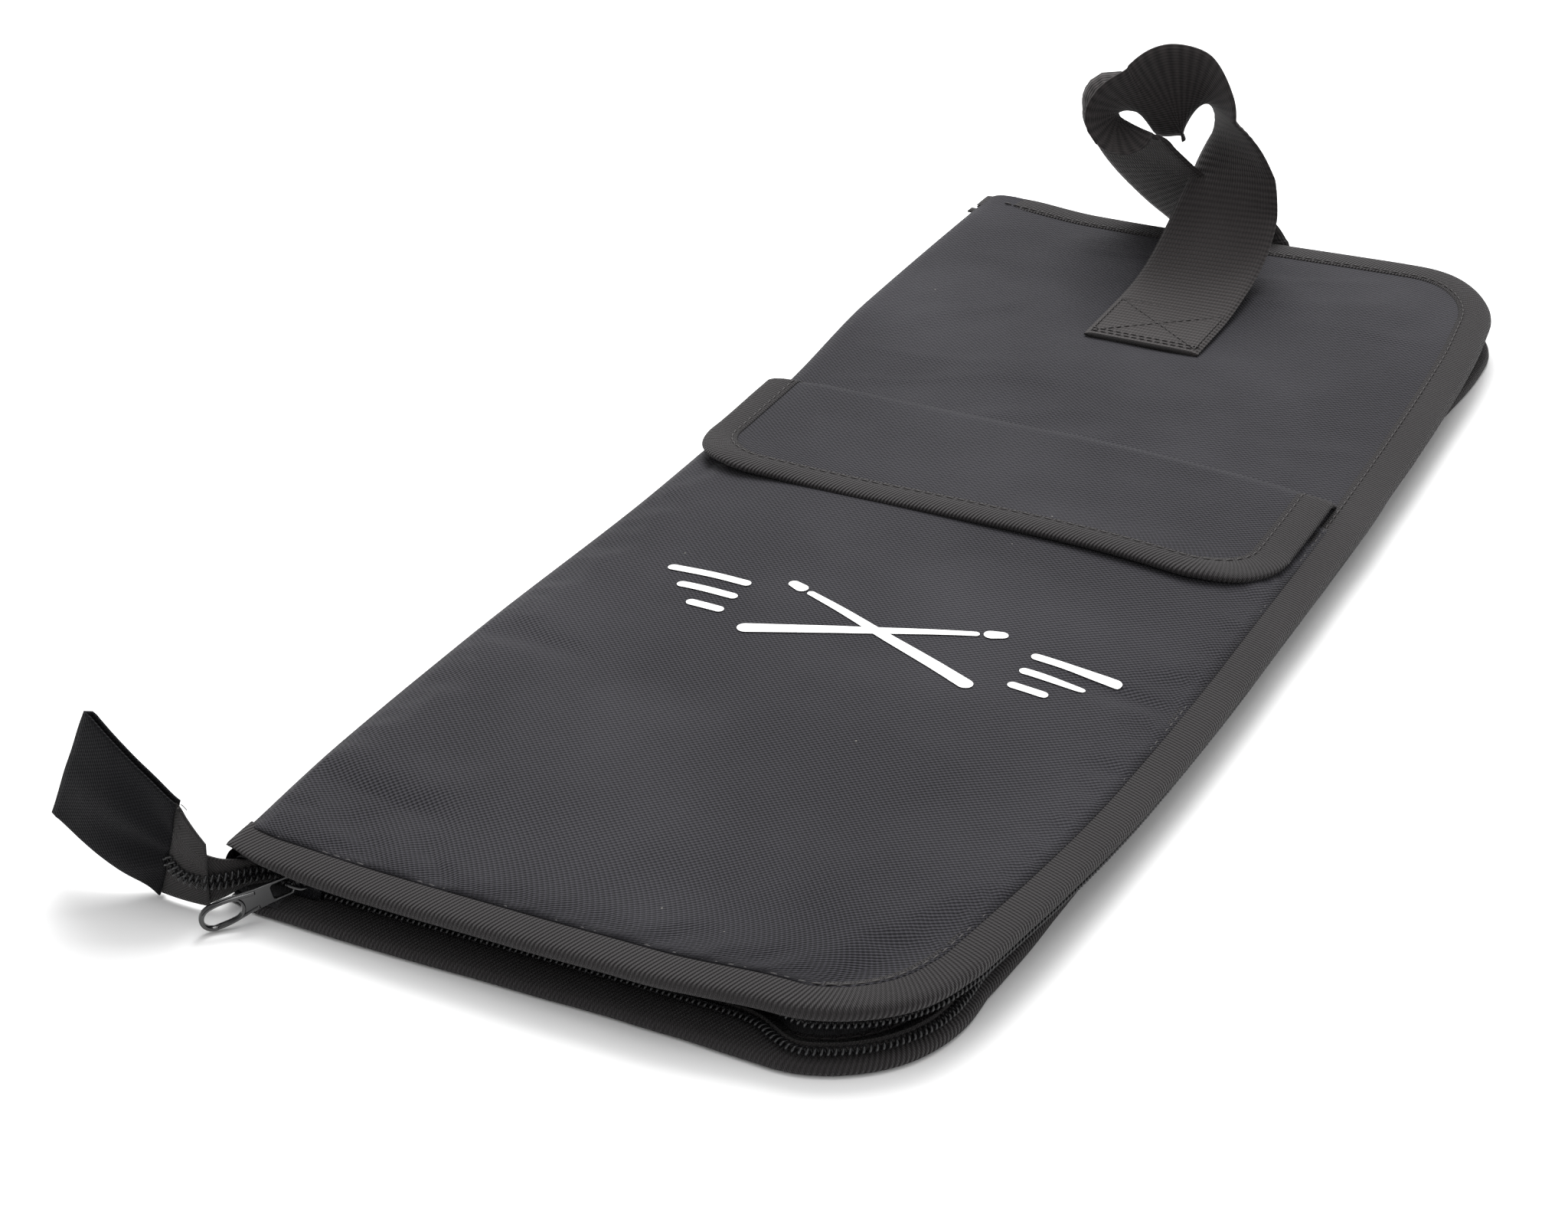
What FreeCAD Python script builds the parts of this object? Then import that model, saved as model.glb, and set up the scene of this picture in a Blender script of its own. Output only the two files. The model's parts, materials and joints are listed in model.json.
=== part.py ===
"""Padded drum stick bag, lying closed on its back cover, with its zipper run open.

Frame, in millimetres: X across the bag (the spine at -X, the long zipper side at +X), Y along
it (the carrying handle at +Y), Z up. The origin is the centre of the back cover's underside.
Every size is kept in the spreadsheet Sizes, and the sub-parts are bound to its cells.
"""
import FreeCAD, Part
import math
import os

import Sketcher

Vector = FreeCAD.Vector

DOCUMENT = FreeCAD.newDocument("drum_stick_bag")

SIZES = {
    # the two covers
    "BagWidth": 190, "BagLength": 468, "BagThick": 15.5, "ZipCorner": 36,
    "ClothThick": 1.2, "FoamThick": 1.2, "LiningThick": 0.4, "TapeThick": 0.6,
    "BindingWide": 11, "SpineRadius": 8, "FoldRadius": 3.9,
    "HingeZ": 11.4, "HingeGap": 0.2,
    # the zipper chain, which runs along three sides inside the bindings
    "ChainInset": 8.4, "CoilDiameter": 2, "ZipTapeThick": 0.5, "ZipTapeTall": 2.6,
    "CoilLift": 2, "ChainStart": -69, "ChainEnd": -84,
    # the pocket for the sticks, inside, on the back cover
    "StickPocketWide": 156, "StickPocketNear": 213, "StickPocketFar": 80,
    "StickPocketLift": 5.2, "PocketCloth": 0.8, "SeamWall": 1, "MouthTape": 9,
    # the flat pocket outside, on the front cover, and its flap
    "FrontPocketWide": 168, "FrontPocketNear": 223, "FrontPocketFar": 46,
    "FrontPocketLift": 4.2, "PocketSlope": 10, "LoopTapeLong": 110, "LoopTapeWide": 20,
    "LoopTapeThick": 0.3, "HookTapeThick": 0.4, "HookTapeY": 20,
    "FlapLeft": 94.5, "FlapRight": 84.5, "FlapFold": 60, "FlapBend": 50, "FlapEdge": 11,
    "FlapHinge": 17, "FlapTop": 22.1, "FlapCloth": 0.6, "FlapBinding": 10.5, "FlapCorner": 25,
    "SeamStrip": 8,
    # the webbing handle
    "WebWide": 38, "WebThick": 1.6, "WebPressed": 0.8, "WebCentre": 2, "WebSewnTo": 175,
    "WebDrop": 240, "WebSplit": 7, "WebClear": 0.3, "WebStep": 4,
    # the slider, at rest near the spine end of the near edge
    "SliderLeft": 80.5, "SliderLong": 9.5, "SliderLow": 3.7, "SliderTall": 8.1,
    "PlateThick": 1, "OuterPlate": 226.9, "InnerPlate": 222.8, "FlangeThick": 0.4,
    "FlangeDeep": 1.5, "WedgeLong": 3, "WedgeTall": 1.5, "WedgeLow": 7,
    "BailLeft": 79.4, "BailLong": 6.4, "BailBar": 1, "BailDeep": 3.6, "BailLow": 8.1,
    # the pull tab, which hangs on the slider's bail
    "PullX": -77.4, "PullY": -229.5, "PullZ": 8.6, "PullHeading": 229.5, "PullDrop": 13.3,
    "PullLong": 19.6, "PullThick": 1, "PullEyeHalf": 2, "PullHalf": 2.8, "PullNeck": 9,
    "PullTip": 3.7, "PullHole": 2.7, "PullHoleStart": 13, "PullPin": 0.6, "PullEyeLong": 5.2,
    # the zipper's tail, a ribbon on edge past the corner, with its folded end tab
    "ClosedNear": 225.2, "ClosedFar": 234.4, "ClosedBend": 90, "ClosedTurn": 93.2,
    "ClosedEnd": 95.8, "TailY": 236.8, "TailTape": 0.8, "TailCoil": 1.3, "TailTab": 2.4,
}

SHEET = DOCUMENT.addObject("Spreadsheet::Sheet", "Sizes")
for row, (word, number) in enumerate(SIZES.items(), start=1):
    SHEET.set(f"A{row}", word)
    SHEET.set(f"B{row}", str(number))
    SHEET.setAlias(f"B{row}", word)
DOCUMENT.recompute()

PARTS = []


def sized(expression):
    """The expression with the sheet's name before each of its cell words."""
    words = expression.replace("(", " ( ").replace(")", " ) ").split()
    return " ".join(f"Sizes.{word}" if word in SIZES else word for word in words)


def worth(expression):
    """The number that an expression of cell words comes to."""
    return float(SHEET.evalExpression(sized(expression)))


def keep(thing, label):
    """Names a finished sub-part, which is written to parts/LABEL.step."""
    thing.Label = label
    PARTS.append(thing)
    return thing


def bind(thing, **places):
    """Binds properties to expressions; a double underscore stands for a dot."""
    for place, expression in places.items():
        thing.setExpression(place.replace("__", "."), sized(expression))
    return thing


# ---------------------------------------------------------------- sketches and features
def body(name):
    return DOCUMENT.addObject("PartDesign::Body", f"{name}_body")


def sketch(owner, name, plane="XY_Plane", lift="0"):
    """A sketch on one of the body's own origin planes, lifted along the plane's normal."""
    made = owner.newObject("Sketcher::SketchObject", name)
    origin = next(f for f in owner.Origin.OriginFeatures if f.Role == plane)
    made.AttachmentSupport = [(origin, "")]
    made.MapMode = "FlatFace"
    bind(made, AttachmentOffset__Base__z=lift)
    return made


def fix(drawing, curve, end, across, up):
    """Holds a curve's end at (across, up), both expressions, from the sketch's origin."""
    for kind, axis, expression in (("DistanceX", -2, across), ("DistanceY", -1, up)):
        value = worth(expression)
        if abs(value) < 1e-9:
            drawing.addConstraint(Sketcher.Constraint("PointOnObject", curve, end, axis))
            continue
        pair = (-1, 1, curve, end) if value > 0 else (curve, end, -1, 1)
        index = drawing.addConstraint(Sketcher.Constraint(kind, *pair, abs(value)))
        signed = expression if value > 0 else f"0 - ( {expression} )"
        drawing.setExpression(f"Constraints[{index}]", sized(signed))


def polygon(drawing, corners):
    """A closed outline of straight lines through corners given as pairs of expressions."""
    spots = [Vector(worth(across), worth(up), 0) for across, up in corners]
    first = len(drawing.Geometry)
    for here, there in zip(spots, spots[1:] + spots[:1]):
        drawing.addGeometry(Part.LineSegment(here, there))
    for number, (across, up) in enumerate(corners):
        before = first + (number - 1) % len(corners)
        drawing.addConstraint(Sketcher.Constraint("Coincident", before, 2, first + number, 1))
        fix(drawing, first + number, 1, across, up)


def rectangle(drawing, left, low, right, high):
    polygon(drawing, [(left, low), (right, low), (right, high), (left, high)])


def cover_outline(drawing, inset, left):
    """The cover's outline: square at the spine, round at both zipper corners."""
    inset = f"( {inset} )"
    edge, half = worth(f"BagWidth / 2 - {inset}"), worth(f"BagLength / 2 - {inset}")
    radius, spine = worth(f"ZipCorner - {inset}"), worth(left)
    turn, near, far = edge - radius, radius - half, half - radius
    upward = Vector(0, 0, 1)
    drawing.addGeometry(Part.LineSegment(Vector(spine, -half, 0), Vector(turn, -half, 0)))
    corner = Part.Circle(Vector(turn, near, 0), upward, radius)
    drawing.addGeometry(Part.ArcOfCircle(corner, -math.pi / 2, 0))
    drawing.addGeometry(Part.LineSegment(Vector(edge, near, 0), Vector(edge, far, 0)))
    corner = Part.Circle(Vector(turn, far, 0), upward, radius)
    drawing.addGeometry(Part.ArcOfCircle(corner, 0, math.pi / 2))
    drawing.addGeometry(Part.LineSegment(Vector(turn, half, 0), Vector(spine, half, 0)))
    drawing.addGeometry(Part.LineSegment(Vector(spine, half, 0), Vector(spine, -half, 0)))
    for curve in range(4):
        drawing.addConstraint(Sketcher.Constraint("Tangent", curve, 2, curve + 1, 1))
    drawing.addConstraint(Sketcher.Constraint("Coincident", 4, 2, 5, 1))
    drawing.addConstraint(Sketcher.Constraint("Coincident", 5, 2, 0, 1))
    for kind, curve in (("Horizontal", 0), ("Vertical", 2), ("Horizontal", 4), ("Vertical", 5)):
        drawing.addConstraint(Sketcher.Constraint(kind, curve))
    drawing.addConstraint(Sketcher.Constraint("Equal", 1, 3))
    index = drawing.addConstraint(Sketcher.Constraint("Radius", 1, radius))
    drawing.setExpression(f"Constraints[{index}]", sized(f"ZipCorner - {inset}"))
    bounds = (
        ("DistanceX", (-1, 1, 2, 1), f"BagWidth / 2 - {inset}"),
        ("DistanceX", (5, 1, -1, 1), f"0 - ( {left} )"),
        ("DistanceY", (-1, 1, 4, 1), f"BagLength / 2 - {inset}"),
        ("DistanceY", (0, 1, -1, 1), f"BagLength / 2 - {inset}"),
    )
    for kind, ends, expression in bounds:
        index = drawing.addConstraint(Sketcher.Constraint(kind, *ends, worth(expression)))
        drawing.setExpression(f"Constraints[{index}]", sized(expression))


def pad(owner, drawing, length, midplane=False):
    made = owner.newObject("PartDesign::Pad", f"{drawing.Name}_pad")
    made.Profile = drawing
    made.Midplane = midplane
    bind(made, Length=length)
    return made


def pocket(owner, drawing, depth):
    """Cuts from the sketch downwards, and checks that something was cut."""
    DOCUMENT.recompute()
    before = owner.Shape.Volume
    made = owner.newObject("PartDesign::Pocket", f"{drawing.Name}_pocket")
    made.Profile = drawing
    bind(made, Length=depth)
    DOCUMENT.recompute()
    if not owner.Shape.Volume < before - 1e-6:
        raise RuntimeError(f"{drawing.Name} cuts nothing")
    return made


def box(name, left, near, low, wide, deep, tall):
    made = DOCUMENT.addObject("Part::Box", name)
    places = {"Placement__Base__x": left, "Placement__Base__y": near, "Placement__Base__z": low}
    return bind(made, Length=wide, Width=deep, Height=tall, **places)


def joined(name, shapes):
    made = DOCUMENT.addObject("Part::MultiFuse", name)
    made.Shapes = shapes
    return made


def without(name, base, tool):
    made = DOCUMENT.addObject("Part::Cut", name)
    made.Base = base
    made.Tool = tool
    return made


# ---------------------------------------------------------------- pieces of both covers
def plate(name, inset, left, low, thick):
    """One flat layer of a cover."""
    owner = body(name)
    outline = sketch(owner, f"{name}_outline")
    cover_outline(outline, inset, left)
    pad(owner, outline, thick)
    return bind(owner, Placement__Base__z=low)


def binding(name, left, low, label):
    """A tape folded over a cover's edge along the three zipper sides, as a channel."""
    owner = body(name)
    tall = "ClothThick + FoamThick + LiningThick + TapeThick"
    outline = sketch(owner, f"{name}_outline")
    cover_outline(outline, "0", left)
    pad(owner, outline, tall)
    inside = sketch(owner, f"{name}_inside", lift=tall)
    cover_outline(inside, "BindingWide", f"{left} - TapeThick")
    pocket(owner, inside, tall)
    layers = sketch(owner, f"{name}_layers", lift=f"{tall} - TapeThick")
    cover_outline(layers, "TapeThick", f"{left} - TapeThick")
    pocket(owner, layers, f"{tall} - 2 * TapeThick")
    bind(owner, Placement__Base__z=low)
    return keep(owner, label) if label else owner


def rail(name, outer, inner, left, low, tall, label):
    """A narrow band that follows the zipper's three sides."""
    owner = body(name)
    outline = sketch(owner, f"{name}_outline")
    cover_outline(outline, outer, left)
    pad(owner, outline, tall)
    inside = sketch(owner, f"{name}_inside", lift=tall)
    cover_outline(inside, inner, f"{left} - TapeThick")
    pocket(owner, inside, tall)
    bind(owner, Placement__Base__z=low)
    return keep(owner, label) if label else owner


def spine_quarter(name, radius, centre_z, upper):
    """A quarter of the cloth's turn round the spine: the lower or the upper one."""
    pair = []
    for layer, size in (("outer", radius), ("inner", f"{radius} - ClothThick")):
        made = DOCUMENT.addObject("Part::Cylinder", f"{name}_{layer}")
        made.Angle = 90
        bind(made, Radius=size, Height="BagLength - 2 * TapeThick")
        start = Vector(0, 0, 1) if upper else Vector(-1, 0, 0)
        side = Vector(-1, 0, 0) if upper else Vector(0, 0, -1)
        made.Placement.Rotation = FreeCAD.Rotation(start, side, Vector(0, -1, 0), "ZXY")
        pair.append(made)
    for made in pair:
        bind(
            made,
            Placement__Base__x=f"HingeGap - BagWidth / 2 + {radius}",
            Placement__Base__y="BagLength / 2 - TapeThick",
            Placement__Base__z=centre_z,
        )
    return without(name, *pair)


COVER_THICK = "( ClothThick + FoamThick + LiningThick + TapeThick )"
BACK_LEFT = "( HingeGap + SpineRadius - BagWidth / 2 )"
FRONT_LEFT = "( HingeGap + FoldRadius - BagWidth / 2 )"
SPINE_OUT = "( HingeGap - BagWidth / 2 )"
FRONT_LOW = f"( BagThick - {COVER_THICK} )"
CHAIN_OUT = "( ChainInset - CoilDiameter / 2 )"
TAPE_OUT = "( ChainInset + CoilDiameter / 2 )"


# ---------------------------------------------------------------- the back cover
def back_shell():
    flat = body("back_flat")
    outline = sketch(flat, "back_flat_outline")
    cover_outline(outline, "TapeThick", BACK_LEFT)
    pad(flat, outline, "ClothThick")
    wall = box(
        "back_spine_wall", SPINE_OUT, "TapeThick - BagLength / 2", "SpineRadius",
        "ClothThick", "BagLength - 2 * TapeThick", "HingeZ - HingeGap - SpineRadius",
    )
    turn = spine_quarter("back_spine_turn", "SpineRadius", "SpineRadius", upper=False)
    whole = joined("back_cloth", [flat, turn, wall])
    sunk = rail(
        "back_sunk", "0", "BindingWide", BACK_LEFT, "0", "TapeThick", label=None
    )
    bare = without("back_cloth_stepped", whole, sunk)
    recess = box(
        "back_web_recess", "0 - WebCentre - WebWide / 2 - WebClear", "WebSewnTo - WebClear",
        "0 - 1", "WebWide + 2 * WebClear", "BagLength", "1 + WebPressed",
    )
    keep(without("back_shell", bare, recess), "back_shell")


def back_layers():
    lower = "ClothThick"
    keep(plate("back_foam", "TapeThick", BACK_LEFT, lower, "FoamThick"), "back_foam")
    lining_low = "ClothThick + FoamThick"
    keep(plate("back_lining", "TapeThick", BACK_LEFT, lining_low, "LiningThick"), "back_lining")


def back_binding():
    channel = binding("back_channel", BACK_LEFT, "0", label=None)
    notch = box(
        "back_web_notch", "0 - WebCentre - WebWide / 2 - WebClear", "WebSewnTo",
        "0 - 1", "WebWide + 2 * WebClear", "BagLength", "1 + WebPressed",
    )
    keep(without("back_binding", channel, notch), "back_binding")


def back_zip():
    rail(
        "back_zip_tape", TAPE_OUT, "ChainInset + CoilDiameter / 2 + ZipTapeThick",
        BACK_LEFT, COVER_THICK, "ZipTapeTall", "back_zip_tape",
    )
    rail(
        "back_zip_coil", CHAIN_OUT, "ChainInset + CoilDiameter / 2",
        "ChainEnd", f"{COVER_THICK} + CoilLift - CoilDiameter / 2", "CoilDiameter",
        "back_zip_coil",
    )


def zip_closed_end():
    """The short closed stretch of chain between the slider and the corner."""
    owner = body("zip_closed_end")
    drawing = sketch(owner, "zip_closed_end_plan")
    polygon(
        drawing,
        [
            ("0 - SliderLeft - 4", "0 - ClosedNear"), ("0 - ClosedBend", "0 - ClosedNear - 3"),
            ("0 - ClosedTurn", "0 - ClosedFar"), ("0 - ClosedEnd", "0 - TailY + 0.2"),
            ("0 - ClosedEnd", "0 - TailY - TailTape"),
            ("0.6 - ClosedTurn", "0 - ClosedFar - TailTape"),
            ("0.6 - ClosedBend", "0 - ClosedNear - 4"),
            ("0 - SliderLeft - 4", "0 - ClosedNear - 1"),
        ],
    )
    pad(owner, drawing, "SliderTall - 1.5")
    bind(owner, Placement__Base__z="SliderLow + 1")
    keep(owner, "zip_closed_end")


def stick_pocket():
    """A cloth panel over three long compartments that open towards the handle."""
    floor_z = "ClothThick + FoamThick + LiningThick"
    owner = body("stick_pocket")
    outline = sketch(owner, "stick_pocket_outline")
    half = "StickPocketWide / 2"
    rectangle(outline, f"0 - {half}", "0 - StickPocketNear", half, "StickPocketFar")
    pad(owner, outline, "StickPocketLift + PocketCloth")
    hollow = sketch(owner, "stick_pocket_hollow", lift="StickPocketLift")
    room = "( StickPocketWide - 4 * SeamWall ) / 3"
    near = "SeamWall - StickPocketNear"
    for number in range(3):
        left = f"( {number} * ( {room} + SeamWall ) + SeamWall - StickPocketWide / 2 )"
        rectangle(hollow, left, near, f"{left} + {room}", "StickPocketFar + SeamWall")
    pocket(owner, hollow, "StickPocketLift")
    bind(owner, Placement__Base__z=floor_z)
    keep(owner, "stick_pocket")


def stick_pocket_binding():
    """A folded tape along the mouth of the stick pocket."""
    top = "( ClothThick + FoamThick + LiningThick + StickPocketLift + PocketCloth )"
    owner = body("stick_pocket_binding")
    profile = sketch(owner, "stick_pocket_binding_profile", plane="YZ_Plane")
    polygon(
        profile,
        [
            ("StickPocketFar", f"{top} - PocketCloth"),
            ("StickPocketFar + TapeThick", f"{top} - PocketCloth"),
            ("StickPocketFar + TapeThick", f"{top} + TapeThick"),
            ("StickPocketFar - MouthTape", f"{top} + TapeThick"),
            ("StickPocketFar - MouthTape", top),
            ("StickPocketFar", top),
        ],
    )
    pad(owner, profile, "StickPocketWide", midplane=True)
    keep(owner, "stick_pocket_binding")


def handle_back_end():
    """The handle's other end: down behind the far edge and flat under the back cover."""
    owner = body("handle_back_end")
    profile = sketch(owner, "handle_back_end_profile", plane="YZ_Plane")
    polygon(
        profile,
        [
            ("WebSewnTo", "0"), ("WebDrop + WebThick / 2", "0"),
            ("WebDrop + WebThick / 2", "WebSplit"), ("WebDrop - WebThick / 2", "WebSplit"),
            ("WebDrop - WebThick / 2", "WebPressed"), ("WebSewnTo", "WebPressed"),
        ],
    )
    pad(owner, profile, "WebWide", midplane=True)
    bind(owner, Placement__Base__x="0 - WebCentre")
    keep(owner, "handle_back_end")


# ---------------------------------------------------------------- the front cover
def front_shell():
    flat = body("front_flat")
    outline = sketch(flat, "front_flat_outline")
    cover_outline(outline, "TapeThick", FRONT_LEFT)
    pad(flat, outline, "ClothThick")
    bind(flat, Placement__Base__z="BagThick - ClothThick")
    turn = spine_quarter(
        "front_spine_turn", "FoldRadius", "BagThick - FoldRadius", upper=True
    )
    whole = joined("front_cloth", [flat, turn])
    sunk = rail(
        "front_sunk", "0", "BindingWide", FRONT_LEFT, "BagThick - TapeThick", "TapeThick",
        label=None,
    )
    keep(without("front_shell", whole, sunk), "front_shell")


def front_layers():
    low = "BagThick - ClothThick - FoamThick"
    keep(plate("front_foam", "TapeThick", FRONT_LEFT, low, "FoamThick"), "front_foam")
    low = f"{low} - LiningThick"
    keep(plate("front_lining", "TapeThick", FRONT_LEFT, low, "LiningThick"), "front_lining")
    binding("front_channel", FRONT_LEFT, FRONT_LOW, "front_binding")


def front_zip():
    rail(
        "front_zip_tape", TAPE_OUT, "ChainInset + CoilDiameter / 2 + ZipTapeThick",
        "ChainStart", f"{FRONT_LOW} - ZipTapeTall", "ZipTapeTall", "front_zip_tape",
    )
    rail(
        "front_zip_coil", CHAIN_OUT, "ChainInset + CoilDiameter / 2",
        "ChainStart", f"{FRONT_LOW} - CoilLift - CoilDiameter / 2", "CoilDiameter",
        "front_zip_coil",
    )


def sloped_block(owner, name, margin, far, tall, cut):
    """A low block with sloping sides, square at its far end, added to or cut from a body."""
    half, near = f"FrontPocketWide / 2 - {margin}", f"FrontPocketNear - {margin}"
    foot = sketch(owner, f"{name}_foot")
    rectangle(foot, f"0 - ( {half} )", f"0 - ( {near} )", half, far)
    head = sketch(owner, f"{name}_head", lift=tall)
    rectangle(
        head, f"PocketSlope - ( {half} )", f"PocketSlope - ( {near} )",
        f"{half} - PocketSlope", far,
    )
    kind = "PartDesign::SubtractiveLoft" if cut else "PartDesign::AdditiveLoft"
    made = owner.newObject(kind, f"{name}_loft")
    made.Profile = foot
    made.Sections = [head]
    made.Ruled = True


def accessory_pocket():
    """The flat outside pocket over the cover's near half; its mouth is under the flap."""
    owner = body("accessory_pocket")
    sloped_block(
        owner, "pocket_outside", "0", "FrontPocketFar", "FrontPocketLift + PocketCloth",
        cut=False,
    )
    DOCUMENT.recompute()
    before = owner.Shape.Volume
    sloped_block(
        owner, "pocket_inside", "1.2 * PocketCloth", "FrontPocketFar + SeamWall",
        "FrontPocketLift", cut=True,
    )
    DOCUMENT.recompute()
    if not owner.Shape.Volume < before / 2:
        raise RuntimeError("the accessory pocket isn't hollow")
    bind(owner, Placement__Base__z="BagThick")
    keep(owner, "accessory_pocket")


def pocket_hem():
    """A folded tape along the accessory pocket's mouth."""
    top = "( BagThick + FrontPocketLift + PocketCloth )"
    owner = body("pocket_hem")
    profile = sketch(owner, "pocket_hem_profile", plane="YZ_Plane")
    polygon(
        profile,
        [
            ("FrontPocketFar", f"{top} - PocketCloth"),
            ("FrontPocketFar + TapeThick", f"{top} - PocketCloth"),
            ("FrontPocketFar + TapeThick", f"{top} + LoopTapeThick"),
            ("FrontPocketFar - MouthTape", f"{top} + LoopTapeThick"),
            ("FrontPocketFar - MouthTape", top),
            ("FrontPocketFar", top),
        ],
    )
    pad(owner, profile, "FrontPocketWide - 2 * PocketSlope", midplane=True)
    keep(owner, "pocket_hem")


def pocket_loop_tape():
    """The soft half of the flap's hook-and-loop fastener, sewn on the pocket."""
    tape = box(
        "pocket_loop_tape", "0 - LoopTapeLong / 2", "HookTapeY - LoopTapeWide / 2",
        "BagThick + FrontPocketLift + PocketCloth", "LoopTapeLong", "LoopTapeWide",
        "LoopTapeThick",
    )
    keep(tape, "pocket_loop_tape")


def flap_seam_strip():
    """The turned-in cloth that holds the flap's upper edge to the cover."""
    strip = box(
        "flap_seam_strip", "1 - FlapLeft", "FlapFold - 0.5 - SeamStrip", "BagThick",
        "FlapLeft + FlapRight - 2", "SeamStrip", "TapeThick",
    )
    keep(strip, "flap_seam_strip")


# Where the webbing runs: its middle, and the way its width points, at each bend or twist.
HANDLE_ROUTE = (
    ((-2, 130, 16.3), (1, 0, 0)),
    ((-2, 144, 16.3), (1, 0, 0)),
    ((-2, 158, 16.3), (1, 0, 0)),
    ((-2, 178, 18.5), (1, 0, 0.04)),
    ((-2, 197, 25), (0.99, -0.08, 0.05)),
    ((-2, 211, 38), (0.94, -0.3, 0.13)),
    ((-3, 217, 56), (0.68, -0.72, 0.13)),
    ((-7, 217, 70), (0.4, -0.85, 0.33)),
    ((-17, 213, 76), (0.27, -0.7, 0.64)),
    ((-32, 208.5, 78), (0.22, -0.72, 0.64)),
    ((-44, 205, 75.5), (0.27, -0.82, 0.5)),
    ((-48, 204.5, 66), (0.46, -0.78, 0.42)),
    ((-45.6, 215.3, 50.1), (0.64, -0.65, 0.42)),
    ((-40.2, 229.1, 35.3), (0.8, -0.45, 0.4)),
    ((-21.5, 236.2, 22.5), (0.93, -0.26, 0.2)),
    ((-9.4, 235.4, 19.8), (0.97, -0.18, 0.12)),
    ((-4.4, 237, 16.6), (1, -0.06, 0.03)),
    ((-3.2, 239.6, 12.8), (1, 0, 0)),
    ((-3, 240, 9.2), (1, 0, 0)),
)
# The lengths of webbing, each from one station of the route to another.
HANDLE_LENGTHS = (
    ("handle_sewn_end", 0, 3), ("handle_rise", 3, 6), ("handle_crown", 6, 9),
    ("handle_turn", 9, 12), ("handle_fall", 12, 15), ("handle_drop", 15, 18),
)


def gentle_slopes(values, gaps):
    """Slopes at the stations for a curve that never runs past them."""
    steps = [(after - here) / gap for here, after, gap in zip(values, values[1:], gaps)]
    inner = [2 * a * b / (a + b) if a * b > 0 else 0 for a, b in zip(steps, steps[1:])]
    return [steps[0], *inner, steps[-1]]


def handle_rows():
    """Middles and widths closely spaced along the route, and each station's place there."""
    stations = [(*middle, *across) for middle, across in HANDLE_ROUTE]
    middles = [Vector(*middle) for middle, _ in HANDLE_ROUTE]
    gaps = [here.distanceToPoint(there) for here, there in zip(middles, middles[1:])]
    slopes = list(zip(*[gentle_slopes(values, gaps) for values in zip(*stations)]))
    rows, marks = [], [0]
    for number, gap in enumerate(gaps):
        steps = max(2, round(gap / worth("WebStep")))
        ends = zip(stations[number], slopes[number], stations[number + 1], slopes[number + 1])
        ends = list(ends)
        for t in (step / steps for step in range(steps)):
            rows.append([
                (2 * t**3 - 3 * t**2 + 1) * here + (t**3 - 2 * t**2 + t) * gap * leaving
                + (3 * t**2 - 2 * t**3) * there + (t**3 - t**2) * gap * arriving
                for here, leaving, there, arriving in ends
            ])
        marks.append(len(rows))
    return [*rows, stations[-1]], marks


def handle():
    """The webbing from its end sewn on the front cover, up and over behind the far edge."""
    rows, marks = handle_rows()
    wide, thick = worth("WebWide"), worth("WebThick")
    middles = [Vector(*row[:3]) for row in rows]
    sections = []
    for number, row in enumerate(rows):
        before = middles[max(number - 1, 0)]
        after = middles[min(number + 1, len(middles) - 1)]
        along = (after - before).normalize()
        side = Vector(*row[3:])
        side = (side - along * side.dot(along)).normalize()
        face = along.cross(side)
        corners = [
            middles[number] + side * (wide / 2 * sign) + face * (thick / 2 * rise)
            for sign, rise in ((-1, -1), (1, -1), (1, 1), (-1, 1))
        ]
        sections.append(Part.makePolygon(corners + corners[:1]))
    for name, start, stop in HANDLE_LENGTHS:
        web = DOCUMENT.addObject("Part::Feature", name)
        web.Shape = Part.makeLoft(sections[marks[start]:marks[stop] + 1], True, True)
        keep(web, name)


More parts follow.
